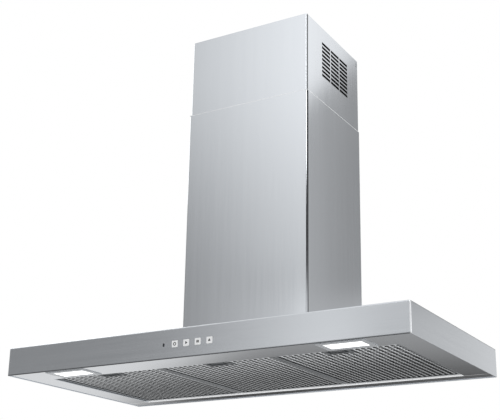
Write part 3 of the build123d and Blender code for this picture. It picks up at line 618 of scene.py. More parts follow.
@dataclass(frozen=True)
class PrintInk(Finish):
    """Dark pad-printed ink."""

    dark: Colour = (0.010, 0.011, 0.012)
    light: Colour = (0.032, 0.034, 0.037)

    def paint(self, graph: Graph) -> None:
        """Lay a nearly black ink with faint thin spots."""
        thin = graph.noise(graph.place(), 2600.0, 2.0)
        graph.surface(Base_Color=graph.mix(thin, self.dark, self.light),
                      Roughness=thin * 0.2 + 0.5, Specular_IOR_Level=0.15)


@dataclass(frozen=True)
class GalvanisedSheet(Finish):
    """Hot-dipped zinc sheet with crystal spangle."""

    dark: Colour = (0.36, 0.375, 0.39)
    light: Colour = (0.66, 0.675, 0.69)
    bloom_tint: Colour = (0.70, 0.71, 0.71)
    spangle: float = 115.0

    def paint(self, graph: Graph) -> None:
        """Lay spangle crystals, their walls and white storage bloom.

        Args:
            graph: Node tree of the material.
        """
        place = graph.place()
        warp = graph.noise(place, 60.0, 2.0)
        crystal = graph.cells(place, self.spangle)
        walls = graph.cells(place, self.spangle, edges=True).ease(0.0, 0.08)
        bloom = warp.ease(0.55, 0.75)
        tone = graph.mix(crystal * 0.75 + warp * 0.25, self.dark, self.light)
        tone = graph.mix(bloom * 0.3, tone, self.bloom_tint)
        graph.surface(Base_Color=tone, Metallic=0.9 - bloom * 0.25,
                      Roughness=crystal * 0.22 + bloom * 0.2 + 0.24,
                      Normal=graph.relief(walls, 0.02 * MM, 0.25))


@dataclass(frozen=True)
class ZincPlate(Finish):
    """Bright passivated zinc on screws and brackets."""

    blue: Colour = (0.60, 0.63, 0.67)
    straw: Colour = (0.72, 0.70, 0.63)

    def paint(self, graph: Graph) -> None:
        """Lay a faint blue and straw cast with handling marks.

        Args:
            graph: Node tree of the material.
        """
        place = graph.place()
        cast = graph.noise(place, 140.0, 2.0)
        marks = graph.noise(place, 900.0, 3.0)
        tone = graph.mix(cast, self.blue, self.straw)
        graph.surface(Base_Color=tone, Metallic=1.0, Roughness=marks * 0.2 + cast * 0.1 + 0.2)


@dataclass(frozen=True)
class CircuitBoard(Finish):
    """Green solder-masked board with copper tracks under the mask."""

    mask: Colour = (0.012, 0.105, 0.045)
    track: Colour = (0.030, 0.215, 0.085)
    tin: Colour = (0.66, 0.67, 0.66)

    def paint(self, graph: Graph) -> None:
        """Lay straight tracks in two directions and tinned pads.

        Args:
            graph: Node tree of the material.
        """
        place = graph.place()
        x, y, z = graph.parts(place)
        across = (x * 900.0 + z * 300.0).calc("SINE") > 0.55
        down = (y * 700.0 - z * 500.0).calc("SINE") > 0.72
        patch = graph.cells(place, 120.0) > 0.45
        tracks = across * patch + down * (1.0 - patch)
        pads = graph.cells(place, 420.0, edges=True) > 0.36
        tone = graph.mix(pads, graph.mix(tracks, self.mask, self.track), self.tin)
        graph.surface(Base_Color=tone, Metallic=pads * 0.9, Roughness=0.42 - pads * 0.12,
                      Normal=graph.relief(tracks, 0.03 * MM, 0.5))


@dataclass(frozen=True)
class GlowingOpal(Finish):
    """Lit opal lens of a lamp."""

    warm: Colour = (1.0, 0.985, 0.955)
    cool: Colour = (0.93, 0.955, 1.0)
    strength: float = 1.1

    def paint(self, graph: Graph) -> None:
        """Lay a glow that wanders a little from warm to cool, over fine frosting.

        Args:
            graph: Node tree of the material.
        """
        place = graph.place()
        frost = graph.noise(place, 1500.0, 2.0)
        slow = graph.noise(place, 18.0, 1.0)
        glow = graph.mix(slow * 0.5 + frost * 0.2, self.warm, self.cool)
        graph.surface(Base_Color=glow, Roughness=frost * 0.2 + 0.3,
                      Emission_Color=glow, Emission_Strength=self.strength,
                      Normal=graph.relief(frost, 0.02 * MM, 0.3))


@dataclass(frozen=True)
class DarkLens(Finish):
    """Smoked window of the indicator lamp."""

    dark: Colour = (0.018, 0.020, 0.024)
    light: Colour = (0.045, 0.048, 0.055)

    def paint(self, graph: Graph) -> None:
        """Lay a nearly black gloss with a slow tint."""
        tint = graph.noise(graph.place(), 300.0, 1.0)
        graph.surface(Base_Color=graph.mix(tint, self.dark, self.light),
                      Roughness=tint * 0.12 + 0.2, Specular_IOR_Level=0.2)


@dataclass(frozen=True)
class SatinEnamel(Finish):
    """Sprayed satin enamel over metal, with a little orange peel."""

    colour: Colour
    peel: float = 620.0
    dimples: float = 217.0
    hammered: bool = False

    def paint(self, graph: Graph) -> None:
        """Lay orange peel, or the coarser dimples of hammered paint.

        Args:
            graph: Node tree of the material.
        """
        place = graph.place()
        if self.hammered:
            skin, depth = graph.cells(place, self.dimples, edges=True), 0.12 * MM
        else:
            skin, depth = graph.noise(place, self.peel), 0.02 * MM
        slow = graph.noise(place, 40.0, 2.0)
        darker = tuple(channel * 0.85 for channel in self.colour)
        graph.surface(Base_Color=graph.mix(slow, darker, self.colour), Metallic=0.15,
                      Roughness=slow * 0.12 + 0.3, Coat_Weight=slow * 0.1 + 0.1,
                      Normal=graph.relief(skin, depth, 0.5))


@dataclass(frozen=True)
class TurnedSteel(Finish):
    """Ground shaft steel with turning marks round its length."""

    axis: Axis = Axis.X
    dark: Colour = (0.42, 0.43, 0.44)
    light: Colour = (0.60, 0.61, 0.62)

    def paint(self, graph: Graph) -> None:
        """Lay fine rings along the axis and a trace of oil.

        Args:
            graph: Node tree of the material.
        """
        place = graph.place()
        rings = (graph.parts(place)[self.axis.value] * 21000.0).calc("SINE") * 0.5 + 0.5
        oil = graph.noise(place, 120.0, 2.0)
        tone = graph.mix(oil * 0.6 + rings * 0.4, self.dark, self.light)
        graph.surface(Base_Color=tone, Metallic=1.0, Roughness=oil * 0.15 + rings * 0.06 + 0.15)


@dataclass(frozen=True)
class StudioFloor(Finish):
    """Plain pale floor of the studio."""

    dark: Colour = (0.78, 0.785, 0.79)
    light: Colour = (0.83, 0.83, 0.83)

    def paint(self, graph: Graph) -> None:
        """Lay a matt, nearly even off-white."""
        slow = graph.noise(graph.place(), 3.0, 3.0)
        graph.surface(Base_Color=graph.mix(slow, self.dark, self.light), Roughness=slow * 0.1 + 0.7)


# Fold and corner bands paint highlights on the steel; seam bands paint shade in the gaps between parts.
FLUE_RIM, FLUE_WALL_EDGE = (Axis.Z, 0.6045), (Axis.Y, 0.23)
FLUE_SHEEN = {"roughness": 0.105, "seam_width": 4.2 * MM}
CANOPY_STEEL = BrushedSteel("canopy_steel", Grain.LEVEL, corner=(0.45, -0.23), seams=((Axis.Z, 0.0),),
                            seam_width=3.2 * MM, seam_limit=-0.2285)
# The bay fold of the panel gets a painted highlight and a painted glow.
PANEL_STEEL = BrushedSteel("panel_steel", Grain.LEVEL, ((Axis.Y, 0.19),), fold_glow=0.35, roughness=0.10)
LOWER_FLUE_STEEL = BrushedSteel("lower_flue_steel", Grain.UPRIGHT, (FLUE_RIM, FLUE_WALL_EDGE),
                                seams=((Axis.Y, -0.0296),), **FLUE_SHEEN)
UPPER_FLUE_STEEL = VentedSteel("upper_flue_steel", Grain.UPRIGHT, seams=((Axis.Y, -0.0273),), **FLUE_SHEEN)
# Painted highlight: the bead's steel is a lighter copy of the flue steel.
BEAD_STEEL = BrushedSteel("bead_steel", Grain.LEVEL, (FLUE_RIM,), roughness=0.3,
                          dark=(0.80, 0.82, 0.84), light=(0.88, 0.89, 0.90))
FRAME_ALUMINIUM = PressedAluminium("pressed_aluminium")
FRONT_WEB = FilterWeb("front_web", 5.0 * MM, 1.1 * MM)
# Painted shade: the rear web is a darker copy of the front web's colours.
REAR_WEB = FilterWeb("rear_web", 12.4 * MM, -2.6 * MM, (0.03, 0.033, 0.036), (0.42, 0.435, 0.45))
# Painted shade: the near-black screen behind the vent slots stands for the dark inside of the flue.
VENT_SHADE = MouldedPlastic("vent_shade", (0.006, 0.006, 0.0065), 0.7, 900.0, sheen=0.05)
# Painted shade: the near-black foil between the webs stands for the dark depth of the filter.
SHADE_FOIL = MouldedPlastic("shade_foil", (0.010, 0.011, 0.012), 0.7, 700.0, sheen=0.08)
LATCH_PLASTIC = MouldedPlastic("latch_plastic", (0.125, 0.132, 0.140), 0.5, sheen=0.2)
BLACK_PLASTIC = MouldedPlastic("black_plastic", (0.018, 0.018, 0.019), 0.45)
GREY_PLASTIC = MouldedPlastic("grey_plastic", (0.22, 0.23, 0.24), 0.46)
WHITE_PLASTIC = MouldedPlastic("white_plastic", (0.74, 0.74, 0.72), 0.4)
BEZEL_ENAMEL = SatinEnamel("bezel_enamel", (0.44, 0.46, 0.48))
MOTOR_ENAMEL = SatinEnamel("motor_enamel", (0.055, 0.060, 0.066), hammered=True)
SHAFT_STEEL = TurnedSteel("shaft_steel")
GALVANISED = GalvanisedSheet("galvanised")
ZINC = ZincPlate("zinc")
BOARD = CircuitBoard("circuit_board")
LIT_OPAL = GlowingOpal("lit_opal")
SMOKED = DarkLens("smoked_lens")
KEY_SILVER = KeyFace("key_silver")
INK = PrintInk("print_ink")
FLOOR = StudioFloor("studio_floor")


# ------------------------------------------------------------------- modelling


def release() -> None:
    """Deselect every object, the CAD nodes included."""
    bpy.ops.object.select_all(action="DESELECT")


def take(piece: bpy.types.Object) -> None:
    """Make a piece the only selected and active object."""
    release()
    piece.select_set(True)
    bpy.context.view_layer.objects.active = piece


def begin(name: str, primitive: Callable[..., Any], scale: Sequence[float] = (1.0, 1.0, 1.0),
          **place: Any) -> bpy.types.Object:
    """Add a primitive as the start of a piece.

    Args:
        name: Name of the piece.
        primitive: The operator that adds it.
        scale: Stretch along each axis of the frame.
        place: The operator's own arguments.

    Returns:
        The new object, with its place in its mesh.
    """
    release()
    primitive(**place)
    piece = bpy.context.object
    piece.name = piece.data.name = name
    piece.scale = scale
    take(piece)
    bpy.ops.object.transform_apply(location=True, rotation=True, scale=True)
    return piece


def block(name: str, low: Sequence[float], high: Sequence[float]) -> bpy.types.Object:
    """Start a piece as a box.

    Args:
        name: Name of the piece.
        low: Lowest corner.
        high: Highest corner.

    Returns:
        The new object.
    """
    middle = [(a + b) / 2 for a, b in zip(low, high)]
    size = [b - a for a, b in zip(low, high)]
    return begin(name, bpy.ops.mesh.primitive_cube_add, size=1.0, location=middle, scale=size)


@contextmanager
def shaping(piece: bpy.types.Object) -> Iterator[None]:
    """Hold a piece in edit mode with nothing selected.

    Args:
        piece: The piece to shape.

    Yields:
        Nothing; the piece is back in object mode afterwards.
    """
    take(piece)
    bpy.ops.object.mode_set(mode="EDIT")
    bpy.ops.mesh.select_all(action="DESELECT")
    yield
    bpy.ops.object.mode_set(mode="OBJECT")


def pick(kind: str, wanted: Callable[[Any], bool]) -> int:
    """Select parts of the mesh that is being shaped.

    Args:
        kind: "VERT", "EDGE" or "FACE".
        wanted: Test on one part.

    Returns:
        How many parts were selected.
    """
    bpy.ops.mesh.select_mode(type=kind)
    bpy.ops.mesh.select_all(action="DESELECT")
    mesh = bmesh.from_edit_mesh(bpy.context.object.data)
    found = 0
    for part in {"VERT": mesh.verts, "EDGE": mesh.edges, "FACE": mesh.faces}[kind]:
        if wanted(part):
            part.select_set(True)
            found += 1
    mesh.select_flush_mode()
    bmesh.update_edit_mesh(bpy.context.object.data)
    return found


def pick_all() -> None:
    """Select the whole mesh that is being shaped."""
    bpy.ops.mesh.select_all(action="SELECT")


def middle_of(part: bmesh.types.BMEdge | bmesh.types.BMFace) -> Vector:
    """Middle of an edge, or median point of a face."""
    if isinstance(part, bmesh.types.BMFace):
        return part.calc_center_median()
    return (part.verts[0].co + part.verts[1].co) / 2


def span_of(edge: bmesh.types.BMEdge, axis: Axis) -> float:
    """How far an edge reaches along an axis."""
    return abs(edge.verts[0].co[axis.value] - edge.verts[1].co[axis.value])


def pull(x: float = 0.0, y: float = 0.0, z: float = 0.0) -> None:
    """Extrude what is selected and move it."""
    bpy.ops.mesh.extrude_region_move(TRANSFORM_OT_translate={"value": (x, y, z)})


def push(x: float = 0.0, y: float = 0.0, z: float = 0.0) -> None:
    """Move what is selected."""
    bpy.ops.transform.translate(value=(x, y, z))


def stretch(x: float, y: float, z: float, about: Sequence[float]) -> None:
    """Scale what is selected about a point."""
    bpy.ops.transform.resize(value=(x, y, z), center_override=about)


def cut_away() -> None:
    """Delete the selected faces."""
    bpy.ops.mesh.delete(type="FACE")


def work(piece: bpy.types.Object, kind: str, **settings: Any) -> None:
    """Add a modifier to a piece and apply it.

    Args:
        piece: The piece to change.
        kind: Blender's modifier type.
        settings: The modifier's properties.
    """
    take(piece)
    modifier = piece.modifiers.new(kind.lower(), kind)
    for name, setting in settings.items():
        setattr(modifier, name, setting)
    bpy.ops.object.modifier_apply(modifier=modifier.name)


def weld(name: str, pieces: Sequence[bpy.types.Object]) -> bpy.types.Object:
    """Join several objects into one piece.

    Args:
        name: Name of the joined piece.
        pieces: The objects; the first one's place in the scene is kept.

    Returns:
        The joined object.
    """
    take(pieces[0])
    for piece in pieces[1:]:
        piece.select_set(True)
    if len(pieces) > 1:
        bpy.ops.object.join()
    pieces[0].name = pieces[0].data.name = name
    return pieces[0]


def twin(piece: bpy.types.Object, name: str, shift: Sequence[float],
         turn: Matrix | None = None) -> bpy.types.Object:
    """Copy a piece with a mesh of its own.

    Args:
        piece: The piece to copy.
        name: Name of the copy.
        shift: How far the copy is moved.
        turn: Rotation about the origin before the move.

    Returns:
        The copy.
    """
    other = bpy.data.objects.new(name, piece.data.copy())
    other.data.name = name
    bpy.context.scene.collection.objects.link(other)
    if turn is not None:
        other.data.transform(turn.to_4x4())
    other.data.transform(Matrix.Translation(Vector(shift)))
    return other


def smooth(piece: bpy.types.Object, degrees: float = 35.0) -> None:
    """Shade a piece smooth except across sharp edges."""
    take(piece)
    bpy.ops.object.shade_smooth_by_angle(angle=math.radians(degrees))


def outward(piece: bpy.types.Object) -> None:
    """Turn all faces of a closed piece outwards."""
    with shaping(piece):
        pick_all()
        bpy.ops.mesh.normals_make_consistent(inside=False)


def coat(piece: bpy.types.Object, *finishes: Finish) -> None:
    """Give a piece its finishes, in the order of its material indices."""
    piece.data.materials.clear()
    for finish in finishes:
        piece.data.materials.append(finish.material())


def islands(node: str) -> list[tuple[Vector, Vector]]:
    """Boxes of the separate solids inside one CAD node.

    Args:
        node: Name of the CAD node.

    Returns:
        Lowest and highest corner of each solid, in a fixed order.
    """
    mesh = frame["nodes"][node].data
    points = [tuple(round(c * 1e5) for c in vertex.co) for vertex in mesh.vertices]
    parent = {point: point for point in points}

    def root(point: tuple) -> tuple:
        """Follow a point to the head of its group."""
        while parent[point] != point:
            parent[point] = parent[parent[point]]
            point = parent[point]
        return point

    for face in mesh.polygons:
        ring = [points[index] for index in face.vertices]
        for point in ring[1:]:
            parent[root(point)] = root(ring[0])
    groups: dict[tuple, list[Vector]] = {}
    for vertex, point in zip(mesh.vertices, points):
        groups.setdefault(root(point), []).append(vertex.co)
    boxes = [(Vector(map(min, *group)), Vector(map(max, *group))) for group in groups.values()]
    return sorted(boxes, key=lambda pair: tuple(round(c, 4) for c in pair[0]))


# ---------------------------------------------------------------- sub-assemblies


@dataclass
class SubAssembly:
    """A group of CAD nodes to dress and fine pieces to add."""

    finishes: dict[str, Finish] = field(default_factory=dict)

    def dress(self) -> None:
        """Assign the finish of each CAD node to its material slots."""
        for node, finish in self.finishes.items():
            for slot in frame["nodes"][node].material_slots:
                slot.material = finish.material()
            LOG.info("dressed %s in %s", node, finish.name)

    def pieces(self) -> Iterator[bpy.types.Object]:
        """Build the fine pieces, each already riding on its body."""
        yield from ()

    def build(self) -> None:
        """Dress the CAD nodes, then build and report each fine piece."""
        self.dress()
        for piece in self.pieces():
            triangles = sum(len(face.vertices) - 2 for face in piece.data.polygons)
            LOG.info("built %s: %d triangles, rides on %s", piece.name, triangles, piece["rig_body"])


@dataclass
class Canopy(SubAssembly):
    """Box canopy with its underside panel."""

    finishes: dict[str, Finish] = field(default_factory=lambda: {
        "canopy_shell": CANOPY_STEEL, "underside_panel": PANEL_STEEL, "keypad_frame": BLACK_PLASTIC,
        "control_board": BOARD, "tact_switches": BLACK_PLASTIC, "electronics_box": WHITE_PLASTIC,
        "electronics_lid": WHITE_PLASTIC, "control_module": BOARD, "run_capacitor": WHITE_PLASTIC})


@dataclass
class Chimney(SubAssembly):
    """Telescopic flue covers with their brackets."""

    finishes: dict[str, Finish] = field(default_factory=lambda: {
        "lower_flue": LOWER_FLUE_STEEL, "upper_flue": UPPER_FLUE_STEEL, "upper_bracket": GALVANISED,
        "wall_plate": GALVANISED, "flue_guide_pads": BLACK_PLASTIC})
    bead_reach: float = 0.38 * MM
    bead_wall: float = 0.8 * MM
    screen_gap: float = 1.2 * MM
    screen_sheet: float = 1.6 * MM
    screen_span: tuple[float, float] = (0.030, 0.186)
    screen_rise: tuple[float, float] = (0.662, 0.761)
    rib_rows: int = 9
    rib_inset: float = 0.6 * MM
    rib_height: float = 1.5 * MM
    rib_edge: float = 0.25 * MM

    def bead(self) -> bpy.types.Object:
        """Model the rolled bead round the lower flue's open top edge."""
        low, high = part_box("lower_flue")
        over, wall = self.bead_reach, self.bead_wall
        floor, roof = high.z - 2 * over, high.z + over / 2
        runs = [block("run", (x - over, low.y - over, floor), (x + wall + over, high.y, roof))
                for x in (low.x, high.x - wall)]
        runs.append(block("run", (low.x - over, low.y - over, floor),
                          (high.x + over, low.y + wall + over, roof)))
        for run in runs:
            work(run, "BEVEL", width=over * 1.5, segments=3, limit_method="NONE")
        return weld("lower_flue_bead", runs)

    def screen(self, inner: float) -> bpy.types.Object:
        """Model the ribbed screen that backs the vent slots on one side, near black as painted shade
        inside the flue.

        Args:
            inner: Distance of its face from the flue's middle.

        Returns:
            The screen for the right side.
        """
        front, back = self.screen_span
        bottom, top = self.screen_rise
        screen = block("screen", (inner - self.screen_sheet, front, bottom), (inner, back, top))
        with shaping(screen):
            pick("EDGE", lambda edge: span_of(edge, Axis.Z) > 50 * MM)
            bpy.ops.mesh.subdivide(number_cuts=2 * self.rib_rows)
            pitch = (top - bottom) / (2 * self.rib_rows + 1)
            pick("FACE", lambda face: face.normal.x < -0.9
                 and int((middle_of(face).z - bottom) / pitch) % 2 == 0)
            bpy.ops.mesh.inset(thickness=self.rib_inset, use_individual=True)
            pull(x=-self.rib_height)
        work(screen, "BEVEL", width=self.rib_edge, segments=2, limit_method="ANGLE")
        return screen

    def pieces(self) -> Iterator[bpy.types.Object]:
        """Build the bead, then a vent screen and its twin on the other side."""
        bead = self.bead()
        smooth(bead)
        coat(bead, BEAD_STEEL)
        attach(bead, "hood")
        yield bead
        right = self.screen(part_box("upper_flue")[1].x - self.screen_gap)
        left = twin(right, "vent_screen_left", (0.0, sum(self.screen_span), 0.0),
                    Matrix.Rotation(math.pi, 3, "Z"))
        for name, screen in (("vent_screen_right", right), ("vent_screen_left", left)):
            screen.name = screen.data.name = name
            coat(screen, VENT_SHADE)
            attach(screen, "upper_flue")
            yield screen


@dataclass
class Blower(SubAssembly):
    """Casing, scroll, motor and outlet with its flaps."""

    finishes: dict[str, Finish] = field(default_factory=lambda: {
        "casing_frame": GALVANISED, "casing_wrap": GALVANISED, "casing_lid": GALVANISED,
        "scroll_half_left": GREY_PLASTIC, "scroll_half_right": GREY_PLASTIC,
        "impeller": BLACK_PLASTIC, "motor_shaft": SHAFT_STEEL, "motor": MOTOR_ENAMEL,
        "motor_bracket": ZINC, "spigot_plate": GREY_PLASTIC, "spigot_pipe": GREY_PLASTIC,
        "flap_front": GREY_PLASTIC, "flap_rear": GREY_PLASTIC, "flap_spindle": SHAFT_STEEL,
        "cable_gland": BLACK_PLASTIC, "terminal_block": WHITE_PLASTIC})


@dataclass
class GreaseFilters(SubAssembly):
    """Three lift-out filters: frames dressed, webs modelled strand by strand."""

    finishes: dict[str, Finish] = field(default_factory=lambda: {
        **{f"filter_frame_{side.value}": FRAME_ALUMINIUM for side in Side},
        **{f"latch_body_{side.value}": LATCH_PLASTIC for side in Side}})
    cell_x: float = 11.6 * MM
    cell_y: float = 13.1 * MM
    columns: int = 22
    rows: int = 25
    hole_x: float = 5.1 * MM
    hole_y: float = 5.9 * MM
    corner_share: float = 0.77
    crest: float = 5.05 * MM
    web_relief: float = 0.2 * MM
    row_depth: float = 2.7
    sheet: float = 0.22 * MM
    rear_top: float = 12.35 * MM
    core_level: float = 8.9 * MM
    core_margin: float = 1.0 * MM
    core_grid: tuple[int, int] = (44, 58)
    pleat: float = 0.9 * MM
    pleat_clearance: float = 3.0 * MM
    notch_clearance: float = 0.4 * MM

    def cell(self, name: str, crest: float, relief: float, rounded: bool) -> bpy.types.Object:
        """Model one cell of a web: a square of sheet pierced by an oval hole.

        Args:
            name: Name of the object.
            crest: Height of the ribs between the columns of holes.
            relief: How far the hole's rim stands above the ribs.
            rounded: Whether the cell is subdivided to a round section.

        Returns:
            The cell, centred on the origin in plan.
        """
        half_x, half_y = self.cell_x / 2, self.cell_y / 2
        cell = begin(name, bpy.ops.mesh.primitive_plane_add, size=1.0, location=(0, 0, crest),
                     scale=(self.cell_x, self.cell_y, 1.0))

        def share(point: Vector) -> tuple[float, float]:
            """Place in the cell, from 0 at its middle to 1 at its edges."""
            return abs(point.x) / half_x, abs(point.y) / half_y

        with shaping(cell):
            pick_all()
            bpy.ops.mesh.subdivide(number_cuts=3)
            # The cell's points stand at shares of 0, 0.5 and 1, and the hole's ring is at 0.5.
            pick("FACE", lambda face: max(share(middle_of(face))) < 0.5)
            cut_away()
            reach_x, reach_y = 2 * self.hole_x / half_x, 2 * self.hole_y / half_y
            for corners, keep in ((False, 1.0), (True, self.corner_share)):
                pick("VERT", lambda vertex: max(share(vertex.co)) < 0.75
                     and (min(share(vertex.co)) > 0.1) is corners)
                stretch(reach_x * keep, reach_y * keep, 1.0, (0, 0, crest))
                push(z=relief)
            pick("VERT", lambda vertex: share(vertex.co)[0] < 0.55 and share(vertex.co)[1] > 0.8)
            push(z=relief * self.row_depth)
        if rounded:
            work(cell, "SUBSURF", levels=1, render_levels=1, boundary_smooth="PRESERVE_CORNERS")
        return cell

    def web(self, name: str, crest: float, relief: float, rounded: bool,
            notch: tuple[float, float]) -> bpy.types.Object:
        """Model a whole web from one repeated cell.

        Args:
            name: Name of the object.
            crest: Height of the ribs.
            relief: How far the holes' rims stand from the ribs.
            rounded: Whether cells have a round section.
            notch: Half width and rear edge of the gap left for the latch.

        Returns:
            The web, centred on the middle filter.
        """
        web = self.cell(name, crest, relief, rounded)
        for count, step in ((self.columns, (self.cell_x, 0, 0)), (self.rows, (0, self.cell_y, 0))):
            work(web, "ARRAY", count=count, use_relative_offset=False, use_constant_offset=True,
                 constant_offset_displace=step, use_merge_vertices=True, merge_threshold=0.05 * MM)
        low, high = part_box("filter_frame_middle")
        front, back = low.y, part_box("filter_mesh_middle")[1].y
        span_x, span_y = (self.columns - 1) * self.cell_x, (self.rows - 1) * self.cell_y
        web.data.transform(Matrix.Translation(((low.x + high.x - span_x) / 2,
                                               (front + back - span_y) / 2, 0)))
        half, rear = notch
        with shaping(web):
            for point, direction in (((-half, 0, 0), (1, 0, 0)), ((half, 0, 0), (1, 0, 0)),
                                     ((0, rear, 0), (0, 1, 0))):
                pick("FACE", lambda face: abs(middle_of(face).x) < half + self.cell_x
                     and middle_of(face).y < rear + self.cell_y)
                bpy.ops.mesh.bisect(plane_co=point, plane_no=direction)
            pick("FACE", lambda face: abs(middle_of(face).x) < half and middle_of(face).y < rear)
            cut_away()
        return web

    def core(self, name: str, notch: tuple[float, float]) -> bpy.types.Object:
        """Model the pleated foil between the webs, near black as painted shade deep in the filter.

        Args:
            name: Name of the object.
            notch: Half width and rear edge of the gap left for the latch.

        Returns:
            The foil, centred on the middle filter.
        """
        low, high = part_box("filter_mesh_middle")
        half, rear = (edge + self.pleat_clearance for edge in notch)
        columns, folds = self.core_grid
        width, length = high.x - low.x - 2 * self.core_margin, high.y - low.y - 2 * self.core_margin
        foil = begin(name, bpy.ops.mesh.primitive_grid_add, x_subdivisions=columns, y_subdivisions=folds,
                     size=1.0, location=(0, (low.y + high.y) / 2, self.core_level),
                     scale=(width, length, 1.0))
        with shaping(foil):
            pick("VERT", lambda vertex: round(
                (vertex.co.y - low.y - self.core_margin) * folds / length) % 2 == 1)
            push(z=self.pleat)
            pick("FACE", lambda face: abs(middle_of(face).x) < half and middle_of(face).y < rear)
            cut_away()
        return foil

    def pieces(self) -> Iterator[bpy.types.Object]:
        """Build the middle filter's webs once and copy them to the other two."""
        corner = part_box("latch_body_middle")[1]
        notch = (corner.x + self.notch_clearance, corner.y + self.notch_clearance)
        front = self.web("front_web", self.crest, self.web_relief, True, notch)
        rear = self.web("rear_web", self.rear_top - self.sheet, -self.web_relief, False, notch)
        core = self.core("shade_foil", notch)
        for sheet, finish in ((front, FRONT_WEB), (rear, REAR_WEB), (core, SHADE_FOIL)):
            work(sheet, "SOLIDIFY", thickness=self.sheet, offset=0.0, use_rim=True)
            coat(sheet, finish)
        pattern = weld("filter_web_middle", [front, rear, core])
        smooth(pattern, 60.0)
        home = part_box("filter_frame_middle")[0].x
        for side in Side:
            shift = (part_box(f"filter_frame_{side.value}")[0].x - home, 0.0, 0.0)
            web = pattern if side is Side.MIDDLE else twin(pattern, f"filter_web_{side.value}", shift)
            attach(web, f"filter_{side.value}")
            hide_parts(f"filter_mesh_{side.value}")
            yield web


@dataclass
class Latches(SubAssembly):
    """Sprung thumb latches of the filters, with ribbed grips."""

    ribs: int = 9
    rib_depth: float = 0.45 * MM
    rib_edge: float = 0.12 * MM
    edge: float = 0.35 * MM
    overlap: float = 0.1 * MM
    plate_x: float = 14.0 * MM
    grip_front: float = 0.6 * MM
    grip_back: float = 11.0 * MM
    grip_root: float = 3.6 * MM
    tongue_x: float = 8.0 * MM
    tongue_back: float = 16.2 * MM
    tongue_nose: float = 0.7 * MM

    def slider(self, low: Vector, high: Vector) -> bpy.types.Object:
        """Model a slider: plate, tongue and ribbed grip.

        Args:
            low: Lowest corner of the CAD slider.
            high: Highest corner of the CAD slider.

        Returns:
            The slider as one object.
        """
        middle = (low.x + high.x) / 2
        shelf = low.z + self.grip_root
        plate = block("plate", (middle - self.plate_x, low.y + self.tongue_back, shelf), high)
        tongue = block("tongue", (middle - self.tongue_x, low.y, shelf),
                       (middle + self.tongue_x, low.y + self.tongue_back + 2 * MM, high.z))
        with shaping(tongue):
            pick("EDGE", lambda edge: middle_of(edge).y < low.y + self.overlap
                 and span_of(edge, Axis.X) > MM)
            bpy.ops.mesh.bevel(offset=self.tongue_nose, segments=2, affect="EDGES")
        grip = block("grip", (middle - self.plate_x, high.y - self.grip_back, low.z + self.rib_depth),
                     (middle + self.plate_x, high.y - self.grip_front, shelf + self.overlap))
        with shaping(grip):
            pick("EDGE", lambda edge: span_of(edge, Axis.X) > MM)
            bpy.ops.mesh.subdivide(number_cuts=2 * self.ribs)
            pitch = 2 * self.plate_x / (2 * self.ribs + 1)
            pick("FACE", lambda face: face.normal.z < -0.9
                 and int((middle_of(face).x - middle + self.plate_x) / pitch) % 2 == 0)
            pull(z=-self.rib_depth)
        work(grip, "BEVEL", width=self.rib_edge, segments=1, limit_method="ANGLE")
        for part in (plate, tongue):
            work(part, "BEVEL", width=self.edge, segments=2, limit_method="ANGLE")
        return weld("slider", [plate, tongue, grip])

    def pieces(self) -> Iterator[bpy.types.Object]:
        """Build one slider and copy it to the other latches."""
        low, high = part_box("latch_slider_middle")
        pattern = self.slider(low, high)
        outward(pattern)
        smooth(pattern)
        for side in Side:
            shift = (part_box(f"latch_slider_{side.value}")[0].x - low.x, 0.0, 0.0)
            slider = twin(pattern, f"latch_grip_{side.value}", shift)
            coat(slider, LATCH_PLASTIC)
            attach(slider, f"latch_{side.value}")
            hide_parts(f"latch_slider_{side.value}")
            yield slider
        bpy.data.objects.remove(pattern)


@dataclass
class Lamps(SubAssembly):
    """Two strip lamps: enamel bezels, boards and fluted opal lenses."""

    finishes: dict[str, Finish] = field(default_factory=lambda: {
        "lamp_bezel_left": BEZEL_ENAMEL, "lamp_bezel_right": BEZEL_ENAMEL,
        "lamp_board_left": BOARD, "lamp_board_right": BOARD})
    flutes: int = 19
    flute_depth: float = 0.3 * MM
    window_inset: float = 2.6 * MM
    lip: float = 1.0 * MM

    def lens(self, low: Vector, high: Vector) -> bpy.types.Object:
        """Model a lens: a fluted window with a lip that sits on the bezel.

        Args:
            low: Lowest corner of the CAD diffuser.
            high: Highest corner of the CAD diffuser.

        Returns:
            The lens.
        """
        wide, deep = high.x - low.x, high.y - low.y
        window_x, window_y = wide - 2 * self.window_inset, deep - 2 * self.window_inset
        middle, floor = (low + high) / 2, high.z - self.lip
        steps = 4 * self.flutes
        lens = begin("lens", bpy.ops.mesh.primitive_grid_add, x_subdivisions=steps, y_subdivisions=3,
                     size=1.0, location=(middle.x, middle.y, low.z), scale=(window_x, window_y, 1.0))
        with shaping(lens):
            for places in ((0, 2), (0,)):
                pick("VERT", lambda vertex: abs(vertex.co.y - middle.y) < window_y * 0.4 and round(
                    ((vertex.co.x - middle.x) / window_x + 0.5) * steps) % 4 in places)
                push(z=self.flute_depth / 2)
            pick_all()
            pull(z=floor - low.z)
            stretch(wide / window_x, deep / window_y, 1.0, (middle.x, middle.y, floor))
            pull(z=self.lip)
        return lens

    def pieces(self) -> Iterator[bpy.types.Object]:
        """Build one lens and copy it to the other lamp."""
        low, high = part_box("lamp_diffuser_left")
        pattern = self.lens(low, high)
        outward(pattern)
        smooth(pattern, 25.0)
        for side in (Side.LEFT, Side.RIGHT):
            node = f"lamp_diffuser_{side.value}"
            lens = twin(pattern, f"lamp_lens_{side.value}", (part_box(node)[0].x - low.x, 0.0, 0.0))
            coat(lens, LIT_OPAL)
            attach(lens, "hood")
            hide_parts(node)
            yield lens
        bpy.data.objects.remove(pattern)


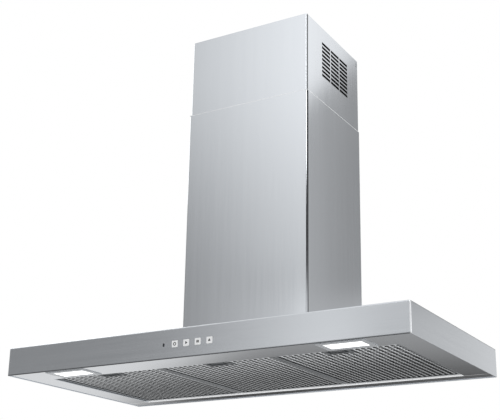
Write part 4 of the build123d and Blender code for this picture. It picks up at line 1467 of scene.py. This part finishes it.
@dataclass
class Controls(SubAssembly):
    """Push buttons with generic printed marks, and the indicator."""

    finishes: dict[str, Finish] = field(default_factory=lambda: {
        "button_light": KEY_SILVER, "button_low": KEY_SILVER, "button_medium": KEY_SILVER,
        "button_high": KEY_SILVER, "indicator_lens": SMOKED})
    marks: dict[str, Icon] = field(default_factory=lambda: {
        "light": Icon.RING, "low": Icon.FORWARD, "medium": Icon.BARS, "high": Icon.UP})
    proud: float = 0.12 * MM
    sunk: float = 0.02 * MM
    reach: float = 3.4 * MM
    ring_width: float = 1.5 * MM
    bar_gap: float = 1.45 * MM

    def outline(self, name: str, sides: int, reach: float, turn: float, at: Point) -> bpy.types.Object:
        """Start a mark as a flat polygon that faces the front.

        Args:
            name: Name of the object.
            sides: Number of corners.
            reach: Distance from the middle to a corner.
            turn: Rotation in the front's plane, in radians.
            at: Middle of the mark.

        Returns:
            The polygon.
        """
        upright = Matrix.Rotation(math.pi / 2, 3, "X") @ Matrix.Rotation(turn, 3, "Z")
        return begin(name, bpy.ops.mesh.primitive_circle_add, vertices=sides, radius=reach,
                     fill_type="NGON", location=at, rotation=upright.to_euler())

    def bar(self, offset: float, at: Point) -> bpy.types.Object:
        """Start one upright bar of a mark.

        Args:
            offset: How far it stands to the right of the mark's middle.
            at: Middle of the mark.

        Returns:
            The flat bar.
        """
        bar = self.outline("bar", 4, self.reach * 0.9, math.pi / 4, at)
        with shaping(bar):
            pick_all()
            stretch(0.5, 1.0, 1.1, at)
            push(x=offset)
        return bar

    def mark(self, icon: Icon, at: Point) -> bpy.types.Object:
        """Model one raised mark.

        Args:
            icon: Which mark.
            at: Middle of the button's face.

        Returns:
            The mark.
        """
        if icon is Icon.RING:
            mark = self.outline("mark", 28, self.reach, 0.0, at)
            with shaping(mark):
                pick_all()
                bpy.ops.mesh.inset(thickness=self.ring_width)
                cut_away()
        elif icon is Icon.BARS:
            mark = weld("mark", [self.bar(-self.bar_gap, at), self.bar(self.bar_gap, at)])
        else:
            turn = -math.pi / 2 if icon is Icon.FORWARD else 0.0
            mark = self.outline("mark", 3, self.reach, turn, at)
        with shaping(mark):
            pick_all()
            pull(y=-self.proud)
        outward(mark)
        return mark

    def pieces(self) -> Iterator[bpy.types.Object]:
        """Build the mark of each button, riding on its button."""
        for key, icon in self.marks.items():
            low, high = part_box(f"button_{key}")
            mark = self.mark(icon, ((low.x + high.x) / 2, low.y + self.sunk, (low.z + high.z) / 2))
            mark.name = mark.data.name = f"button_mark_{key}"
            coat(mark, INK)
            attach(mark, f"button_{key}")
            yield mark


@dataclass
class Fixings(SubAssembly):
    """Screws and bolts, with cross recesses and threaded shanks."""

    nodes: tuple[str, ...] = ("casing_bolts", "flue_foot_screws", "spigot_screws", "scroll_screws")
    head_share: float = 0.34
    head_round: float = 0.55
    shank_share: float = 0.52
    turns: int = 7
    thread_swell: float = 1.16
    recess: tuple[float, float] = (1.05, 0.24)
    recess_depth: float = 0.62
    turn_between: float = 0.7

    def screw(self, name: str, width: float, length: float) -> bpy.types.Object:
        """Model a pan-head screw that stands on the origin, head upwards.

        Args:
            name: Name of the object.
            width: Head diameter.
            length: Whole length.

        Returns:
            The screw.
        """
        head, radius = length * self.head_share, width / 2
        shank = length - head
        screw = begin(name, bpy.ops.mesh.primitive_cylinder_add, vertices=24, radius=radius,
                      depth=head, location=(0, 0, length - head / 2))
        with shaping(screw):
            pick("EDGE", lambda edge: middle_of(edge).z > length - head * 0.1)
            bpy.ops.mesh.bevel(offset=head * self.head_round, segments=3, affect="EDGES")
            pick("FACE", lambda face: face.normal.z < -0.9 and len(face.verts) > 6)
            bpy.ops.mesh.inset(thickness=radius * (1 - self.shank_share))
            for turn in range(2 * self.turns):
                pull(z=-shank / (2 * self.turns))
                swell = self.thread_swell if turn % 2 == 0 else 1 / self.thread_swell
                stretch(swell, swell, 1.0, (0, 0, shank - shank * (turn + 1) / (2 * self.turns)))
        arm, slot = (radius * share for share in self.recess)
        for x, y in ((arm, slot), (slot, arm)):
            cutter = block("cutter", (-x / 2, -y / 2, length - head * self.recess_depth),
                           (x / 2, y / 2, length + head))
            work(screw, "BOOLEAN", operation="DIFFERENCE", object=cutter, solver="EXACT")
            bpy.data.objects.remove(cutter)
        outward(screw)
        return screw

    def pieces(self) -> Iterator[bpy.types.Object]:
        """Build each set of screws in the places of the CAD ones."""
        for node in self.nodes:
            boxes = islands(node)
            size = boxes[0][1] - boxes[0][0]
            sideways = node == "scroll_screws"
            length, width = (size.x, size.y) if sideways else (size.z, size.x)
            pattern = self.screw("screw", width, length)
            turn = Matrix.Rotation(math.pi / 2, 3, "Y") if sideways else Matrix.Identity(3)
            copies = []
            for number, (low, high) in enumerate(boxes):
                spin = Matrix.Rotation(self.turn_between * number, 3, "Z")
                middle = (low + high) / 2
                foot = (low.x, middle.y, middle.z) if sideways else (middle.x, middle.y, low.z)
                copies.append(twin(pattern, f"screw_{number}", foot, turn @ spin))
            bpy.data.objects.remove(pattern)
            screws = weld(f"{node}_detailed", copies)
            smooth(screws, 30.0)
            coat(screws, ZINC)
            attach(screws, "hood")
            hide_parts(node)
            yield screws


# ----------------------------------------------------------------------- studio


@dataclass
class Studio:
    """Pale floor, soft light and camera."""

    floor_level: float = -1.55
    floor_size: float = 7.0
    eye: Point = (1.1007, -1.8562, -0.3936)
    forward: Point = (-0.4677, 0.8281, 0.3090)
    right: Point = (0.8723, 0.4889, 0.0098)
    lens: float = 75.975
    film_width: float = 36.0
    shift: tuple[float, float] = (-0.0474, 0.0500)
    sight: tuple[float, float] = (0.05, 60.0)
    aim: Point = (0.0, 0.0, 0.3)
    flag_level: float = 0.06
    ceiling_level: float = 1.15
    ground_level: float = 0.72

    def floor(self) -> None:
        """Lay the floor well below the hood, which hangs on its wall."""
        floor = begin("studio_floor", bpy.ops.mesh.primitive_plane_add, size=self.floor_size,
                      location=(0.0, 0.0, self.floor_level))
        coat(floor, FLOOR)
        floor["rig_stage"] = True

    def camera(self) -> None:
        """Set the camera at the viewing angle."""
        camera = bpy.data.objects.new("camera", bpy.data.cameras.new("camera"))
        bpy.context.scene.collection.objects.link(camera)
        right, forward = Vector(self.right).normalized(), Vector(self.forward).normalized()
        up = right.cross(forward)
        turned = Matrix((right, up, -forward)).transposed().to_4x4()
        camera.matrix_world = Matrix.Translation(self.eye) @ turned
        camera.data.sensor_width = self.film_width
        camera.data.lens = self.lens
        camera.data.shift_x, camera.data.shift_y = self.shift
        camera.data.clip_start, camera.data.clip_end = self.sight
        bpy.context.scene.camera = camera

    def softbox(self, name: str, at: Point, size: float, power: float) -> None:
        """Hang a square softbox aimed at the hood.

        Args:
            name: Name of the light.
            at: Its place.
            size: Its side.
            power: Its power in watts.
        """
        light = bpy.data.lights.new(name, "AREA")
        light.size, light.energy = size, power
        lamp = bpy.data.objects.new(name, light)
        bpy.context.scene.collection.objects.link(lamp)
        lamp.rotation_euler = (Vector(self.aim) - Vector(at)).to_track_quat("-Z", "Y").to_euler()
        lamp.location = at
        lamp.visible_camera = False

    def surround(self) -> None:
        """Paint the studio that the steel reflects, by bearing and elevation in degrees."""
        world = bpy.context.scene.world or bpy.data.worlds.new("studio")
        bpy.context.scene.world = world
        graph = Graph(world)
        across, away, rise = graph.parts(graph.node("ShaderNodeTexCoord", out="Generated"))
        climb = rise.calc("ARCSINE") * math.degrees(1.0)
        bearing = across.calc("ARCTAN2", 0.0 - away) * math.degrees(1.0)
        behind = abs(bearing).ease(86.0, 94.0)
        rightward = bearing.ease(-12.0, 12.0)
        back = (self.back_right_wall(bearing, climb) * rightward
                + self.back_left_wall(bearing, climb) * (1.0 - rightward))
        ring = self.front_wall(bearing, climb) * (1.0 - behind) + back * behind
        flag = bearing.ease(-2.0, 8.0) * bearing.ease(138.0, 132.0) * climb.ease(14.6, 16.0)
        ring = ring * (1.0 - flag) + flag * self.flag_level
        ceiling = climb.ease(34.0, 60.0)
        under = climb.ease(-16.0, -32.0)
        level = ring * (1.0 - ceiling) + ceiling * self.ceiling_level
        level = level * (1.0 - under) + under * self.ground_level
        seen = graph.node("ShaderNodeLightPath", out="Is Camera Ray")
        level = level * (1.0 - seen) + seen
        backdrop = graph.node("ShaderNodeBackground", None, {"Color": WHITE, "Strength": level})
        graph.node("ShaderNodeOutputWorld", None, {"Surface": backdrop})

    def front_wall(self, bearing: Value, climb: Value) -> Value:
        """Brightness of the studio in front of the hood.

        Args:
            bearing: Degrees from straight ahead, positive to the hood's right.
            climb: Degrees above the horizon.

        Returns:
            The brightness.
        """
        wash = bearing.ease(-37.6, -25.8, 0.36, 0.90)
        lift = climb.ease(14.5, 28.0) * 0.45
        low = climb.ease(16.5, 14.0)
        strip = bearing.bump_at(-26.3, 2.3) * 0.72 - bearing.ease(-26.5, -24.0) * 0.24
        side = bearing.ease(-20.0, -8.0) * 0.35
        dip = climb.bump_at(15.4, 1.7) * bearing.ease(-34.0, -27.0) * 0.17
        return wash + lift + strip * low + side - dip

    def back_right_wall(self, bearing: Value, climb: Value) -> Value:
        """Brightness of the studio behind the hood on its right.

        Args:
            bearing: Degrees from straight ahead, positive to the hood's right.
            climb: Degrees above the horizon.

        Returns:
            The brightness.
        """
        dim = bearing.ease(155.2, 151.8, 0.38, 0.62)
        lid = (climb - (bearing - 153.0) * 0.7).ease(25.2, 26.2) * 0.70
        shelf = bearing.ease(151.0, 157.0) * 0.29 + bearing.ease(161.8, 163.5) * 0.40
        return dim + lid + climb.ease(15.6, 13.6) * shelf + bearing.ease(150.0, 138.0) * 0.45

    def back_left_wall(self, bearing: Value, climb: Value) -> Value:
        """Brightness of the studio behind the hood on its left.

        Args:
            bearing: Degrees from straight ahead, positive to the hood's right.
            climb: Degrees above the horizon.

        Returns:
            The brightness.
        """
        turned = abs(bearing)
        dusk = climb.ease(-9.8, -12.6, 0.03, 0.44) + climb.ease(-5.0, 4.0) * 0.5
        edge = (turned + (climb + 9.0) * 1.4).ease(146.6, 141.0)
        return dusk * (1.0 - edge) + edge * 0.88

    def build(self) -> None:
        """Set up the whole studio."""
        self.floor()
        self.camera()
        self.surround()
        self.softbox("key_softbox", (2.4, -2.6, 2.7), 1.8, 46.0)
        self.softbox("fill_softbox", (-2.6, 1.2, 2.2), 1.6, 22.0)
        bpy.context.scene.view_settings.view_transform = "Standard"
        LOG.info("studio is ready")


def main() -> None:
    """Build every sub-assembly in order."""
    logging.basicConfig(level=logging.INFO, format="%(message)s")
    Studio().build()
    for group in (Canopy, Chimney, Blower, GreaseFilters, Latches, Lamps, Controls, Fixings):
        group().build()
    release()
    boxes = {"cad": CAD_BOX, "visual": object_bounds()}
    {name: [list(corner) for corner in box] for name, box in boxes.items()}
    LOG.info("sizes written")


if __name__ == "__main__":
    main()
